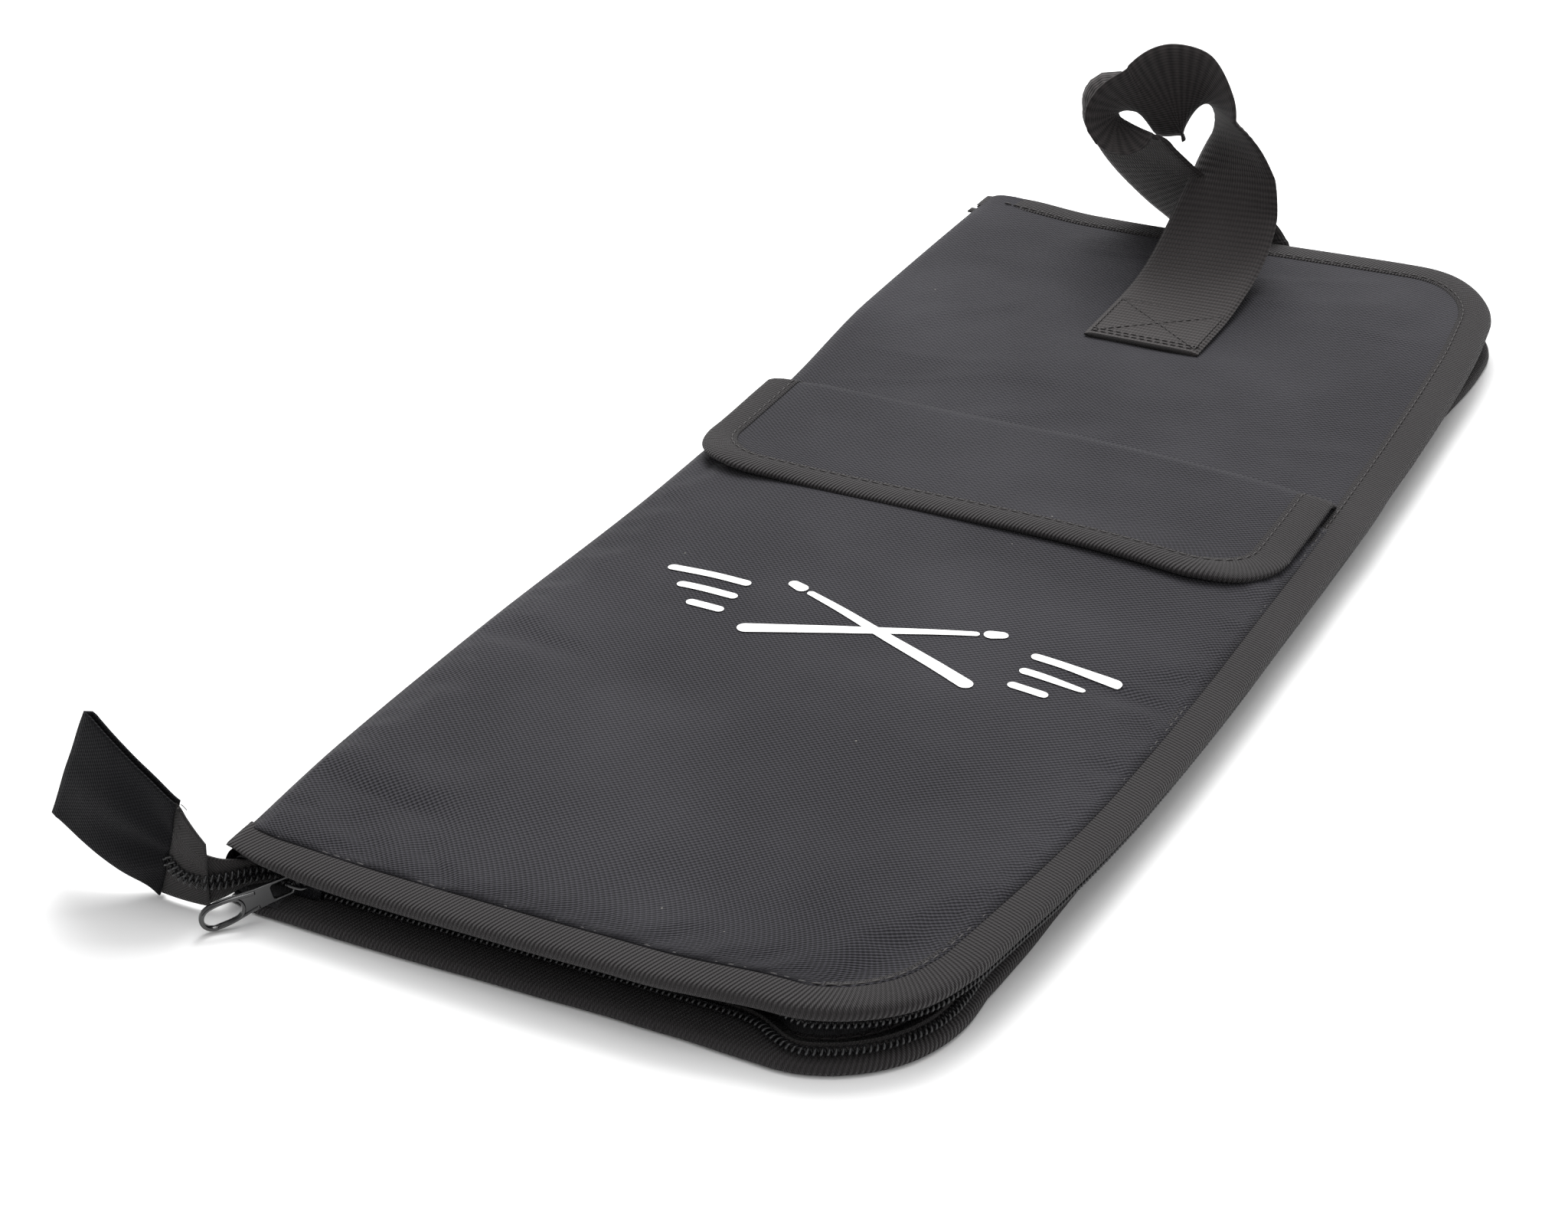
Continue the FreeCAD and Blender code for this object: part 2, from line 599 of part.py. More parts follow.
# ---------------------------------------------------------------- the pocket flap
def flap_outline(drawing, inset, far):
    """The flap's flat outline, round at its two free corners."""
    left, right = worth(f"{inset} - FlapLeft"), worth(f"FlapRight - {inset}")
    near, end, radius = worth(f"{inset} - FlapEdge"), worth(far), worth(f"FlapCorner - {inset}")
    upward = Vector(0, 0, 1)
    lines = (
        ((left, end), (left, near + radius)),
        ((left + radius, near), (right - radius, near)),
        ((right, near + radius), (right, end)),
        ((right, end), (left, end)),
    )
    arcs = (((left + radius), math.pi, 1.5 * math.pi), ((right - radius), 1.5 * math.pi, 0))
    for number, (here, there) in enumerate(lines):
        drawing.addGeometry(Part.LineSegment(Vector(*here, 0), Vector(*there, 0)))
        if number < len(arcs):
            middle, start, stop = arcs[number]
            corner = Part.Circle(Vector(middle, near + radius, 0), upward, radius)
            drawing.addGeometry(Part.ArcOfCircle(corner, start, stop))
    for first, end_a, second, end_b in ((0, 2, 1, 1), (1, 2, 2, 1), (2, 2, 3, 1), (3, 2, 4, 1)):
        drawing.addConstraint(Sketcher.Constraint("Tangent", first, end_a, second, end_b))
    drawing.addConstraint(Sketcher.Constraint("Coincident", 4, 2, 5, 1))
    drawing.addConstraint(Sketcher.Constraint("Coincident", 5, 2, 0, 1))
    for kind, curve in (("Vertical", 0), ("Horizontal", 2), ("Vertical", 4), ("Horizontal", 5)):
        drawing.addConstraint(Sketcher.Constraint(kind, curve))
    drawing.addConstraint(Sketcher.Constraint("Equal", 1, 3))
    bounds = (
        ("Radius", (1,), f"FlapCorner - {inset}"),
        ("DistanceX", (0, 1, -1, 1), f"FlapLeft - {inset}"),
        ("DistanceX", (-1, 1, 4, 2), f"FlapRight - {inset}"),
        ("DistanceY", (2, 1, -1, 1), f"FlapEdge - {inset}"),
        ("DistanceY", (-1, 1, 5, 1), far),
    )
    for kind, ends, expression in bounds:
        index = drawing.addConstraint(Sketcher.Constraint(kind, *ends, worth(expression)))
        drawing.setExpression(f"Constraints[{index}]", sized(expression))


def pocket_flap():
    """The flap's cloth: it leaves its seam, rises over the pocket and lies flat on it."""
    flat = body("flap_flat")
    outline = sketch(flat, "flap_flat_outline")
    flap_outline(outline, "TapeThick", "FlapBend")
    pad(flat, outline, "FlapCloth")
    bind(flat, Placement__Base__z="FlapTop - FlapCloth")
    rise = body("flap_rise")
    profile = sketch(rise, "flap_rise_profile", plane="YZ_Plane")
    polygon(
        profile,
        [
            ("FlapFold", "FlapHinge - FlapCloth / 2"), ("FlapFold", "FlapHinge + FlapCloth / 2"),
            ("FlapBend", "FlapTop"), ("FlapBend - 1", "FlapTop"),
            ("FlapBend - 1", "FlapTop - FlapCloth"), ("FlapBend", "FlapTop - FlapCloth"),
        ],
    )
    pad(rise, profile, "FlapLeft + FlapRight - 2 * TapeThick", midplane=True)
    bind(rise, Placement__Base__x="( FlapRight - FlapLeft ) / 2")
    keep(joined("pocket_flap", [flat, rise]), "pocket_flap")


def flap_binding():
    """The tape folded over the flap's three free edges, as a channel."""
    owner = body("flap_binding")
    tall = "FlapCloth + 2 * TapeThick"
    outline = sketch(owner, "flap_binding_outline")
    flap_outline(outline, "0", "FlapBend - 1")
    pad(owner, outline, tall)
    inside = sketch(owner, "flap_binding_inside", lift=tall)
    flap_outline(inside, "FlapBinding", "FlapBend")
    pocket(owner, inside, tall)
    cloth = sketch(owner, "flap_binding_cloth", lift="FlapCloth + TapeThick")
    flap_outline(cloth, "TapeThick", "FlapBend")
    pocket(owner, cloth, "FlapCloth")
    bind(owner, Placement__Base__z="FlapTop - FlapCloth - TapeThick")
    keep(owner, "flap_binding")


def flap_hook_tape():
    """The hooked half of the flap's fastener, sewn under the flap."""
    tape = box(
        "flap_hook_tape", "0 - LoopTapeLong / 2", "HookTapeY - LoopTapeWide / 2",
        "FlapTop - FlapCloth - HookTapeThick", "LoopTapeLong", "LoopTapeWide",
        "HookTapeThick",
    )
    keep(tape, "flap_hook_tape")


# ---------------------------------------------------------------- the slider and its pull
def slider_body():
    """Two plates joined by a wedge, with flanges that hold both coils between them."""
    left, low = "0 - SliderLeft", "SliderLow"
    outer = "0 - OuterPlate - PlateThick"
    blocks = [
        box("slider_outer", left, outer, low, "SliderLong", "PlateThick", "SliderTall"),
        box(
            "slider_inner", left, "0 - InnerPlate - PlateThick", low,
            "SliderLong", "PlateThick", "SliderTall",
        ),
        box(
            "slider_wedge", "SliderLong - SliderLeft - WedgeLong", "0 - OuterPlate", "WedgeLow",
            "WedgeLong", "OuterPlate - InnerPlate - PlateThick", "WedgeTall",
        ),
    ]
    for name, height in (("low", low), ("high", "SliderLow + SliderTall - FlangeThick")):
        flange = box(
            f"slider_flange_{name}", left, "0 - OuterPlate", height,
            "SliderLong", "FlangeDeep", "FlangeThick",
        )
        blocks.append(flange)
    keep(joined("slider_body", blocks), "slider_body")


def slider_bail():
    """The small bridge on the slider that the pull tab hangs on."""
    owner = body("slider_bail")
    profile = sketch(owner, "slider_bail_profile")
    foot, left = "0 - OuterPlate - PlateThick", "0 - BailLeft"
    rectangle(profile, left, f"{foot} - BailDeep", f"{left} + BailLong", foot)
    pad(owner, profile, "BailBar")
    hole = sketch(owner, "slider_bail_hole", lift="BailBar")
    rectangle(
        hole, f"{left} + BailBar", f"{foot} - BailDeep + BailBar",
        f"{left} + BailLong - BailBar", f"{foot} + BailBar",
    )
    pocket(owner, hole, "BailBar")
    bind(owner, Placement__Base__z="BailLow")
    keep(owner, "slider_bail")


def zip_pull():
    """A flat tab with an eye at the bail, a waisted neck and a long hole in its round end."""
    owner = body("zip_pull")
    profile = sketch(owner, "zip_pull_profile", plane="XZ_Plane")
    polygon(
        profile,
        [
            ("0 - PullPin", "0 - PullHalf"), ("PullNeck", "0 - PullHalf"),
            ("PullLong", "0 - PullTip"), ("PullLong", "PullTip"),
            ("PullNeck", "PullHalf"), ("0 - PullPin", "PullHalf"),
        ],
    )
    pad(owner, profile, "PullThick", midplane=True)
    tip = sketch(owner, "zip_pull_tip", plane="XZ_Plane")
    circle = tip.addGeometry(
        Part.Circle(Vector(worth("PullLong"), 0, 0), Vector(0, 0, 1), worth("PullTip"))
    )
    fix(tip, circle, 3, "PullLong", "0")
    index = tip.addConstraint(Sketcher.Constraint("Radius", circle, worth("PullTip")))
    tip.setExpression(f"Constraints[{index}]", sized("PullTip"))
    pad(owner, tip, "PullThick", midplane=True)
    eye = box(
        "zip_pull_eye", "PullPin", "0 - PullThick", "0 - PullEyeHalf",
        "PullEyeLong - PullPin", "2 * PullThick", "2 * PullEyeHalf",
    )
    slot = box(
        "zip_pull_slot", "PullHoleStart", "0 - PullThick", "0 - PullHole",
        "PullLong - PullHoleStart", "2 * PullThick", "2 * PullHole",
    )
    end = DOCUMENT.addObject("Part::Cylinder", "zip_pull_hole_end")
    end.Placement.Rotation = FreeCAD.Rotation(Vector(1, 0, 0), 90)
    bind(
        end, Radius="PullHole", Height="2 * PullThick",
        Placement__Base__x="PullLong", Placement__Base__y="PullThick",
    )
    tab = without("zip_pull", owner, joined("zip_pull_openings", [eye, slot, end]))
    heading = FreeCAD.Rotation(Vector(0, 0, 1), worth("PullHeading"))
    tilt = FreeCAD.Rotation(Vector(0, 1, 0), worth("PullDrop"))
    tab.Placement.Rotation = heading.multiply(tilt)
    bind(
        tab, Placement__Base__x="PullX", Placement__Base__y="PullY", Placement__Base__z="PullZ"
    )
    keep(tab, "zip_pull")


# ---------------------------------------------------------------- the zipper's tail
SEAM_TOP = ("0 - 102.4", "28.2")
SEAM_FOOT = ("0 - 109.8", "0.9")


def upright_ribbon(name, corners, thick, offset):
    """A flat piece that stands on edge, drawn in the XZ plane."""
    owner = body(name)
    drawing = sketch(owner, f"{name}_outline", plane="XZ_Plane", lift=offset)
    polygon(drawing, corners)
    pad(owner, drawing, thick)
    keep(owner, name)


def zipper_tail():
    tape = [("0 - 96.4", "2.5"), ("0 - 96.4", "17"), SEAM_TOP, SEAM_FOOT]
    upright_ribbon("tail_tape", tape, "TailTape", "TailY")
    coil = [
        ("0 - 96.8", "6.3"), ("0 - 96.8", "10.7"), ("0 - 106", "13.2"), ("0 - 107", "8.8")
    ]
    upright_ribbon("tail_coil", coil, "TailCoil", "TailY + TailTape")
    tab = [SEAM_TOP, ("0 - 125.4", "46.5"), ("0 - 139.5", "14.4"), SEAM_FOOT]
    upright_ribbon("tail_tab", tab, "TailTab", "TailY + ( TailTape - TailTab ) / 2 + 0.4")


# ---------------------------------------------------------------- build, check and write
def build():
    back_shell()
    back_layers()
    back_binding()
    back_zip()
    zip_closed_end()
    stick_pocket()
    stick_pocket_binding()
    handle_back_end()
    front_shell()
    front_layers()
    front_zip()
    accessory_pocket()
    pocket_hem()
    pocket_loop_tape()
    flap_seam_strip()
    handle()
    pocket_flap()
    flap_binding()
    flap_hook_tape()
    slider_body()
    slider_bail()
    zip_pull()
    zipper_tail()


def write():
    DOCUMENT.recompute()
    failed = [
        thing.Name for thing in DOCUMENT.Objects
        if {"Invalid", "Error"} & set(thing.State)
    ]
    if failed:
        raise RuntimeError(f"failed objects: {failed}")
    for thing in PARTS:
        if thing.Shape.isNull() or not thing.Shape.isValid() or not thing.Shape.Solids:
            raise RuntimeError(f"{thing.Label} is no valid solid")
    os.makedirs("parts", exist_ok=True)
    for thing in PARTS:
        thing.Shape.exportStep(f"parts/{thing.Label}.step")
        print(f"{thing.Label}: {thing.Shape.Volume:.0f} mm3, {len(thing.Shape.Solids)} solid(s)")


build()
write()
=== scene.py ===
import json
import math
import random

import bmesh
import bpy
import numpy as np
from mathutils import Matrix, Vector, noise


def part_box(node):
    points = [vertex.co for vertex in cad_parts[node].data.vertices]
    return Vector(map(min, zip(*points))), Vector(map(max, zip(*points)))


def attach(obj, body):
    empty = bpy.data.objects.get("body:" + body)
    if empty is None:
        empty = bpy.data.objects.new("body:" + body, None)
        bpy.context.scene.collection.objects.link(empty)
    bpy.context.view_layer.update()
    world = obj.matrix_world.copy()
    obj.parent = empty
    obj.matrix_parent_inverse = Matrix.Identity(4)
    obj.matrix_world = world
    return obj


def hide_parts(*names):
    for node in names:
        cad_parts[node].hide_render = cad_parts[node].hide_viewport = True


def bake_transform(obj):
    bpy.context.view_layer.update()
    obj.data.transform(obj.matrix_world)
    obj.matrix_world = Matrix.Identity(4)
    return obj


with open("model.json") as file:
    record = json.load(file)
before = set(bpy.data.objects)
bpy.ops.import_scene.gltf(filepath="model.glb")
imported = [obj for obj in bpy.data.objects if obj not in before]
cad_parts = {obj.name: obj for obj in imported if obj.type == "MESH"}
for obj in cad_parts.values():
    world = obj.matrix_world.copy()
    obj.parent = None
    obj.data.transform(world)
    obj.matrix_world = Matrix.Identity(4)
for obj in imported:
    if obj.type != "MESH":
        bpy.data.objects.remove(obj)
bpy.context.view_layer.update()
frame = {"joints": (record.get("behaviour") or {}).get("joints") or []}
DICE = random.Random(7)

# ---------------------------------------------------------------- sizes, in millimetres
MM = 0.001


def span(node):
    """A CAD node's lowest and highest corners, in millimetres."""
    low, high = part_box(node)
    return np.array(low) / MM, np.array(high) / MM


HALF_WIDE, HALF_LONG, TOP = span("front_binding")[1]
BACK_TOP = span("back_binding")[1][2]
FRONT_LOW = span("front_binding")[0][2]
ZIP_CORNER = 36
BINDING = 11
HINGE = [value / MM for value in frame["joints"][0]["pos_m"]]
STICK_LOW, STICK_HIGH = span("stick_pocket")
POCKET_HIGH = span("accessory_pocket")[1]
FLAP_LOW, FLAP_HIGH = span("flap_binding")
FLAP_FOLD = span("pocket_flap")[1][1]
CHAIN_INSET = HALF_LONG + span("back_zip_coil")[0][1] + 1
WEB_WIDE, WEB_THICK = 38, 1.7


# ---------------------------------------------------------------- small maths
def ease(value, low, high):
    """0 below low, 1 above high, smooth between."""
    part = np.clip((np.asarray(value, float) - low) / (high - low), 0, 1)
    return part * part * (3 - 2 * part)


def ripple(x, y, size, seed=0.0):
    """Smooth noise from -1 to 1 over arrays of places, with features about size apart."""
    shape = np.broadcast(x, y).shape
    x, y = np.broadcast_to(x, shape).ravel(), np.broadcast_to(y, shape).ravel()
    flat = [noise.noise(Vector((a / size, b / size, seed))) for a, b in zip(x, y)]
    return np.array(flat).reshape(shape)


def along(points, step):
    """Points evenly spaced by about step on a smooth curve through hand-set points."""
    points = np.asarray(points, float)
    knots = np.concatenate([[0], np.cumsum(np.linalg.norm(np.diff(points, axis=0), axis=1))])
    count = max(2, int(round(knots[-1] / step)) + 1)
    slopes = np.gradient(points, knots, axis=0)
    places = np.linspace(0, knots[-1], count)
    spot = np.clip(np.searchsorted(knots, places) - 1, 0, len(knots) - 2)
    gap = (knots[spot + 1] - knots[spot])[:, None]
    t = (places[:, None] - knots[spot][:, None]) / gap
    start, stop = points[spot], points[spot + 1]
    return (
        (2 * t**3 - 3 * t**2 + 1) * start + (t**3 - 2 * t**2 + t) * gap * slopes[spot]
        + (3 * t**2 - 2 * t**3) * stop + (t**3 - t**2) * gap * slopes[spot + 1]
    )


def units(vectors):
    return vectors / np.maximum(np.linalg.norm(vectors, axis=-1, keepdims=True), 1e-9)


# ---------------------------------------------------------------- how the covers lie
def sag(y):
    """Along the zipper side the covers have settled together, but not at the two ends."""
    return ease(y, -200, -110) * (1 - ease(y, 130, 212))


# The soft near corner on the zipper side: how far each cover's edge is drawn in there.
FRONT_DRAW, BACK_DRAW, NEAR_LIFT = 13.8, 13.5, 2.5


def drawn_in(x, y, reach, power):
    """How strongly the soft near corner on the zipper side is drawn in, from 0 to 1."""
    return np.clip((-y - 40) / reach, 0, 1) ** power * ease(x, 5, 80)


def corners_in(moved, x, y):
    """Rounds off the two spine corners and the far corner on the zipper side."""
    ends = ease(np.abs(y), 205, HALF_LONG)
    moved[..., 1] -= np.sign(y) * 2.4 * ease(-x, 82, HALF_WIDE) * ends
    moved[..., 0] -= 4.5 * ease(y, 165, 228) * ease(x, 55, HALF_WIDE)
    swell = 2.2 * ease(y, 60, 130) + 1.3 * ease(-y, 20, 120) * (1 - ease(-y, 180, 230))
    moved[..., 0] -= swell * ease(-x, 55, HALF_WIDE)


def settle_front(points):
    """Moves ideal front-cover points to where the soft cover lies."""
    moved = np.array(points, float)
    x, y = moved[..., 0].copy(), moved[..., 1].copy()
    corners_in(moved, x, y)
    moved[..., 2] += ease(-x, 55, 88) * (1.8 * ease(y, 50, 130) + 0.8 * ease(-y, 20, 120))
    moved[..., 0] -= FRONT_DRAW * drawn_in(x, y, 165, 1.8)
    moved[..., 1] += NEAR_LIFT * ease(x, 20, 60) * ease(-y, 150, 215)
    outward = ease(x, 10, HALF_WIDE)
    moved[..., 2] -= 3.2 * outward * sag(y)
    moved[..., 2] += 0.8 * ease(-y, 150, HALF_LONG) * np.sin((x + 40) / 38)
    moved[..., 1] += ease(y, 190, HALF_LONG) * 2.6 * np.sin((x - 8) / 34)
    moved[..., 1] -= ease(-y, 190, HALF_LONG) * 0.9 * np.sin((x + 60) / 30)
    moved[..., 0] += ease(-x, 60, HALF_WIDE) * (1.1 * np.cos(y / 62) - 0.6)
    moved[..., 0] += outward * 0.8 * np.sin(y / 41)
    return moved


def settle_back(points):
    """Moves ideal back-cover points; its free edge is drawn in under the front cover."""
    moved = np.array(points, float)
    x, y = moved[..., 0].copy(), moved[..., 1].copy()
    corners_in(moved, x, y)
    moved[..., 0] -= 5.5 * ease(x, 20, HALF_WIDE) * sag(y)
    moved[..., 0] -= BACK_DRAW * drawn_in(x, y, 150, 1.6)
    moved[..., 0] += ease(-x, 60, HALF_WIDE) * (1.1 * np.cos(y / 62) - 0.6)
    moved[..., 1] += ease(y, 190, HALF_LONG) * 1.5 * np.sin((x + 10) / 40)
    moved[..., 1] += ease(-y, 190, HALF_LONG) * 0.8 * np.sin((x + 20) / 27)
    return moved


def settle_round(points):
    """The cloth that turns round the spine: back cover below, front cover above."""
    share = ease(points[..., 2], BACK_TOP, FRONT_LOW)[..., None]
    return settle_back(points) * (1 - share) + settle_front(points) * share


# ---------------------------------------------------------------- meshes
def linked(name, data):
    """A new object in the scene."""
    made = bpy.data.objects.new(name, data)
    bpy.context.scene.collection.objects.link(made)
    return made


def grid_mesh(name, points, wrap=False, caps="none", flip=False):
    """Quads through rows of points in millimetres, with UVs that are real lengths."""
    points = np.asarray(points, float)
    rows, cols = points.shape[:2]
    mean_u = np.linalg.norm(np.diff(points, axis=0), axis=2).mean(axis=1)
    run = np.concatenate([[0], np.cumsum(mean_u)])
    ring = np.concatenate([points, points[:, :1]], axis=1) if wrap else points
    mean_v = np.linalg.norm(np.diff(ring, axis=1), axis=2).mean(axis=0)
    round_ = np.concatenate([[0], np.cumsum(mean_v)])
    faces, uvs = [], []
    for i in range(rows - 1):
        for j in range(cols if wrap else cols - 1):
            k = (j + 1) % cols
            quad = [(i, j, j), (i + 1, j, j), (i + 1, k, j + 1), (i, k, j + 1)]
            if flip:
                quad.reverse()
            faces.append([a * cols + b for a, b, _ in quad])
            uvs.extend((run[a] * MM, round_[c] * MM) for a, _, c in quad)
    if caps != "none":
        for i, turned in ((0, flip), (rows - 1, not flip)):
            pairs = []
            if caps == "flat":
                half = cols // 2
                for j in range(half - 1):
                    pairs.append([j, j + 1, cols - 2 - j, cols - 1 - j])
            else:
                pairs.append(list(range(cols)))
            for face in pairs:
                face = face[::-1] if turned else face
                faces.append([i * cols + b for b in face])
                uvs.extend((run[i] * MM, round_[b] * MM) for b in face)
    mesh = bpy.data.meshes.new(name)
    mesh.from_pydata((points.reshape(-1, 3) * MM).tolist(), [], faces)
    layer = mesh.uv_layers.new(name="UVMap")
    layer.data.foreach_set("uv", np.array(uvs, np.float32).ravel())
    mesh.shade_smooth()
    return linked(name, mesh)


def thickened(points, thick):
    """Rows of a cloth's upper side, carried round its edge and back along its under side."""
    points = np.asarray(points, float)
    face = units(np.cross(np.gradient(points, axis=1), np.gradient(points, axis=0)))
    under = points - face * thick
    return np.concatenate([points, under[:, ::-1]], axis=1)


def cloth(name, points, thick):
    return grid_mesh(name, thickened(points, thick), wrap=True, caps="flat", flip=True)


def dress(piece, material, body=None, replaces=()):
    """Gives a piece its material, the body that it rides on and what it replaces."""
    piece.data.materials.clear()
    piece.data.materials.append(material)
    if body:
        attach(piece, body)
    if replaces:
        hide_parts(*replaces)
    return piece


def joined_mesh(name, parts):
    """One mesh from several lists of (vertices in millimetres, faces)."""
    verts, faces = [], []
    for some, quads in parts:
        faces.extend([[index + len(verts) for index in face] for face in quads])
        verts.extend((np.asarray(some) * MM).tolist())
    mesh = bpy.data.meshes.new(name)
    mesh.from_pydata(verts, [], faces)
    mesh.shade_smooth()
    return linked(name, mesh)


STITCH_SIDES = 6


def stitch(middle, run, up, long, fat):
    """One raised stitch: a short thread, thick in the middle and sunk at both ends."""
    side = np.cross(up, run)
    verts, faces = [], []
    rings = ((-0.5, 0.35, -0.6), (-0.3, 0.9, 0.1), (0, 1, 0.3), (0.3, 0.9, 0.1), (0.5, 0.35, -0.6))
    for place, size, lift in rings:
        for number in range(STITCH_SIDES):
            turn = 2 * math.pi * number / STITCH_SIDES
            offset = side * math.cos(turn) + up * math.sin(turn)
            verts.append(middle + run * place * long + offset * fat * size + up * lift * fat)
    for ring in range(len(rings) - 1):
        for number in range(STITCH_SIDES):
            after = (number + 1) % STITCH_SIDES
            low, high = ring * STITCH_SIDES, (ring + 1) * STITCH_SIDES
            faces.append([low + number, low + after, high + after, high + number])
    return verts, faces


def stitch_row(path, up, pitch=3.3, long=2.7, fat=0.32):
    """Stitches along a path of points, with one up direction for each point."""
    path, up = np.asarray(path, float), np.asarray(up, float)
    if up.ndim == 1:
        up = np.broadcast_to(up, path.shape)
    places = np.concatenate([[0], np.cumsum(np.linalg.norm(np.diff(path, axis=0), axis=1))])
    parts = []
    for place in np.arange(pitch / 2, places[-1], pitch):
        spot = min(int(np.searchsorted(places, place)), len(path) - 1)
        run = units(path[spot] - path[spot - 1])
        share = (place - places[spot - 1]) / max(places[spot] - places[spot - 1], 1e-9)
        middle = path[spot - 1] * (1 - share) + path[spot] * share
        face = units(up[spot] - run * np.dot(up[spot], run))
        parts.append(stitch(middle, run, face, long, fat))
    return parts


def sew(name, rows, body):
    """Rows of stitches as one piece of thread."""
    dress(joined_mesh(name, rows), THREAD, body)


# ---------------------------------------------------------------- materials
def shader(name, colour, roughness, sheen=0.0, coat=0.0, metal=0.0, specular=0.5):
    material = bpy.data.materials.new(name)
    material.use_nodes = True
    core = material.node_tree.nodes["Principled BSDF"]
    core.inputs["Base Color"].default_value = (*colour, 1)
    core.inputs["Roughness"].default_value = roughness
    core.inputs["Metallic"].default_value = metal
    core.inputs["Specular IOR Level"].default_value = specular
    core.inputs["Sheen Weight"].default_value = sheen
    core.inputs["Sheen Roughness"].default_value = 0.45
    core.inputs["Coat Weight"].default_value = coat
    core.inputs["Coat Roughness"].default_value = 0.12
    return material, material.node_tree, core


def math_node(tree, kind, first, second=None, third=None):
    node = tree.nodes.new("ShaderNodeMath")
    node.operation = kind
    for number, value in enumerate((first, second, third)):
        if value is None:
            continue
        if isinstance(value, (int, float)):
            node.inputs[number].default_value = value
        else:
            tree.links.new(value, node.inputs[number])
    return node.outputs[0]


def noise_node(tree, place, scale, detail=3.0):
    node = tree.nodes.new("ShaderNodeTexNoise")
    node.inputs["Scale"].default_value = scale
    node.inputs["Detail"].default_value = detail
    tree.links.new(place, node.inputs["Vector"])
    return node.outputs["Fac"]


def ramp(tree, value, low, high):
    """value carried from the range low to high onto 0 to 1."""
    node = tree.nodes.new("ShaderNodeMapRange")
    node.inputs["From Min"].default_value = low
    node.inputs["From Max"].default_value = high
    tree.links.new(value, node.inputs["Value"])
    return node.outputs["Result"]


def mixed(tree, share, first, second):
    node = tree.nodes.new("ShaderNodeMix")
    node.data_type = "RGBA"
    tree.links.new(share, node.inputs["Factor"])
    for socket, value in (("A", first), ("B", second)):
        place = next(s for s in node.inputs if s.name == socket and s.type == "RGBA")
        if isinstance(value, tuple):
            place.default_value = (*value, 1)
        else:
            tree.links.new(value, place)
    return next(s for s in node.outputs if s.type == "RGBA")


def bump(tree, core, height, depth, strength=1.0):
    node = tree.nodes.new("ShaderNodeBump")
    node.inputs["Distance"].default_value = depth
    node.inputs["Strength"].default_value = strength
    tree.links.new(height, node.inputs["Height"])
    tree.links.new(node.outputs["Normal"], core.inputs["Normal"])


def cloth_places(tree):
    """The UV place in metres, and its two parts."""
    uv = tree.nodes.new("ShaderNodeUVMap")
    uv.uv_map = "UVMap"
    parts = tree.nodes.new("ShaderNodeSeparateXYZ")
    tree.links.new(uv.outputs["UV"], parts.inputs["Vector"])
    return uv.outputs["UV"], parts.outputs["X"], parts.outputs["Y"]


def wave(tree, place, pitch):
    turned = math_node(tree, "MULTIPLY", place, 2 * math.pi / pitch)
    return math_node(tree, "SINE", turned)


def worn(tree, core, place, thread, colours, specks=True):
    """Colour from the threads, broad worn patches, and a few specks of lint."""
    dark, light, patch = colours
    base = mixed(tree, thread, dark, light)
    broad = ramp(tree, noise_node(tree, place, 13, 4), 0.4, 0.75)
    base = mixed(tree, math_node(tree, "MULTIPLY", broad, 0.55), base, patch)
    if specks:
        cells = tree.nodes.new("ShaderNodeTexVoronoi")
        cells.inputs["Scale"].default_value = 85
        tree.links.new(place, cells.inputs["Vector"])
        near = math_node(tree, "LESS_THAN", cells.outputs["Distance"], 0.022)
        tint = tree.nodes.new("ShaderNodeSeparateColor")
        tree.links.new(cells.outputs["Color"], tint.inputs["Color"])
        few = math_node(tree, "LESS_THAN", tint.outputs["Red"], 0.4)
        lint = math_node(tree, "MULTIPLY", near, few)
        base = mixed(tree, math_node(tree, "MULTIPLY", lint, 0.55), base, (0.35, 0.34, 0.3))
    tree.links.new(base, core.inputs["Base Color"])
    rough = math_node(tree, "MULTIPLY_ADD", broad, -0.1, 0.8)
    tree.links.new(rough, core.inputs["Roughness"])


def woven_material(name, colours, pitch, depth, sheen, slub=0.35, gloss=0.3):
    """A plain weave: threads that pass over and under each other in both directions."""
    material, tree, core = shader(name, colours[0], 0.8, sheen=sheen, specular=gloss)
    place, across, down = cloth_places(tree)
    weave = math_node(tree, "MULTIPLY", wave(tree, across, pitch), wave(tree, down, pitch))
    height = math_node(tree, "MULTIPLY_ADD", weave, 0.5, 0.5)
    uneven = noise_node(tree, place, 900, 2)
    height = math_node(tree, "MULTIPLY_ADD", uneven, slub, height)
    worn(tree, core, place, ramp(tree, height, 0.2, 1.1), colours)
    bump(tree, core, height, depth)
    return material


def twill_material(name, colours, pitch, depth, sheen, zigzag=0.0, lean=1.0):
    """Slanting ribs, as on woven tape; with a zigzag width they form a herringbone."""
    material, tree, core = shader(name, colours[0], 0.8, sheen=sheen, specular=0.3)
    place, run, width = cloth_places(tree)
    slant = math_node(tree, "PINGPONG", width, zigzag) if zigzag else width
    slant = math_node(tree, "MULTIPLY", slant, lean)
    rib = wave(tree, math_node(tree, "ADD", run, slant), pitch)
    height = math_node(tree, "MULTIPLY_ADD", rib, 0.5, 0.5)
    threads = wave(tree, math_node(tree, "SUBTRACT", run, slant), pitch * 0.42)
    height = math_node(tree, "MULTIPLY_ADD", threads, 0.16, height)
    height = math_node(tree, "MULTIPLY_ADD", noise_node(tree, place, 1100, 2), 0.3, height)
    worn(tree, core, place, ramp(tree, height, 0.1, 1.2), colours)
    bump(tree, core, height, depth)
    return material


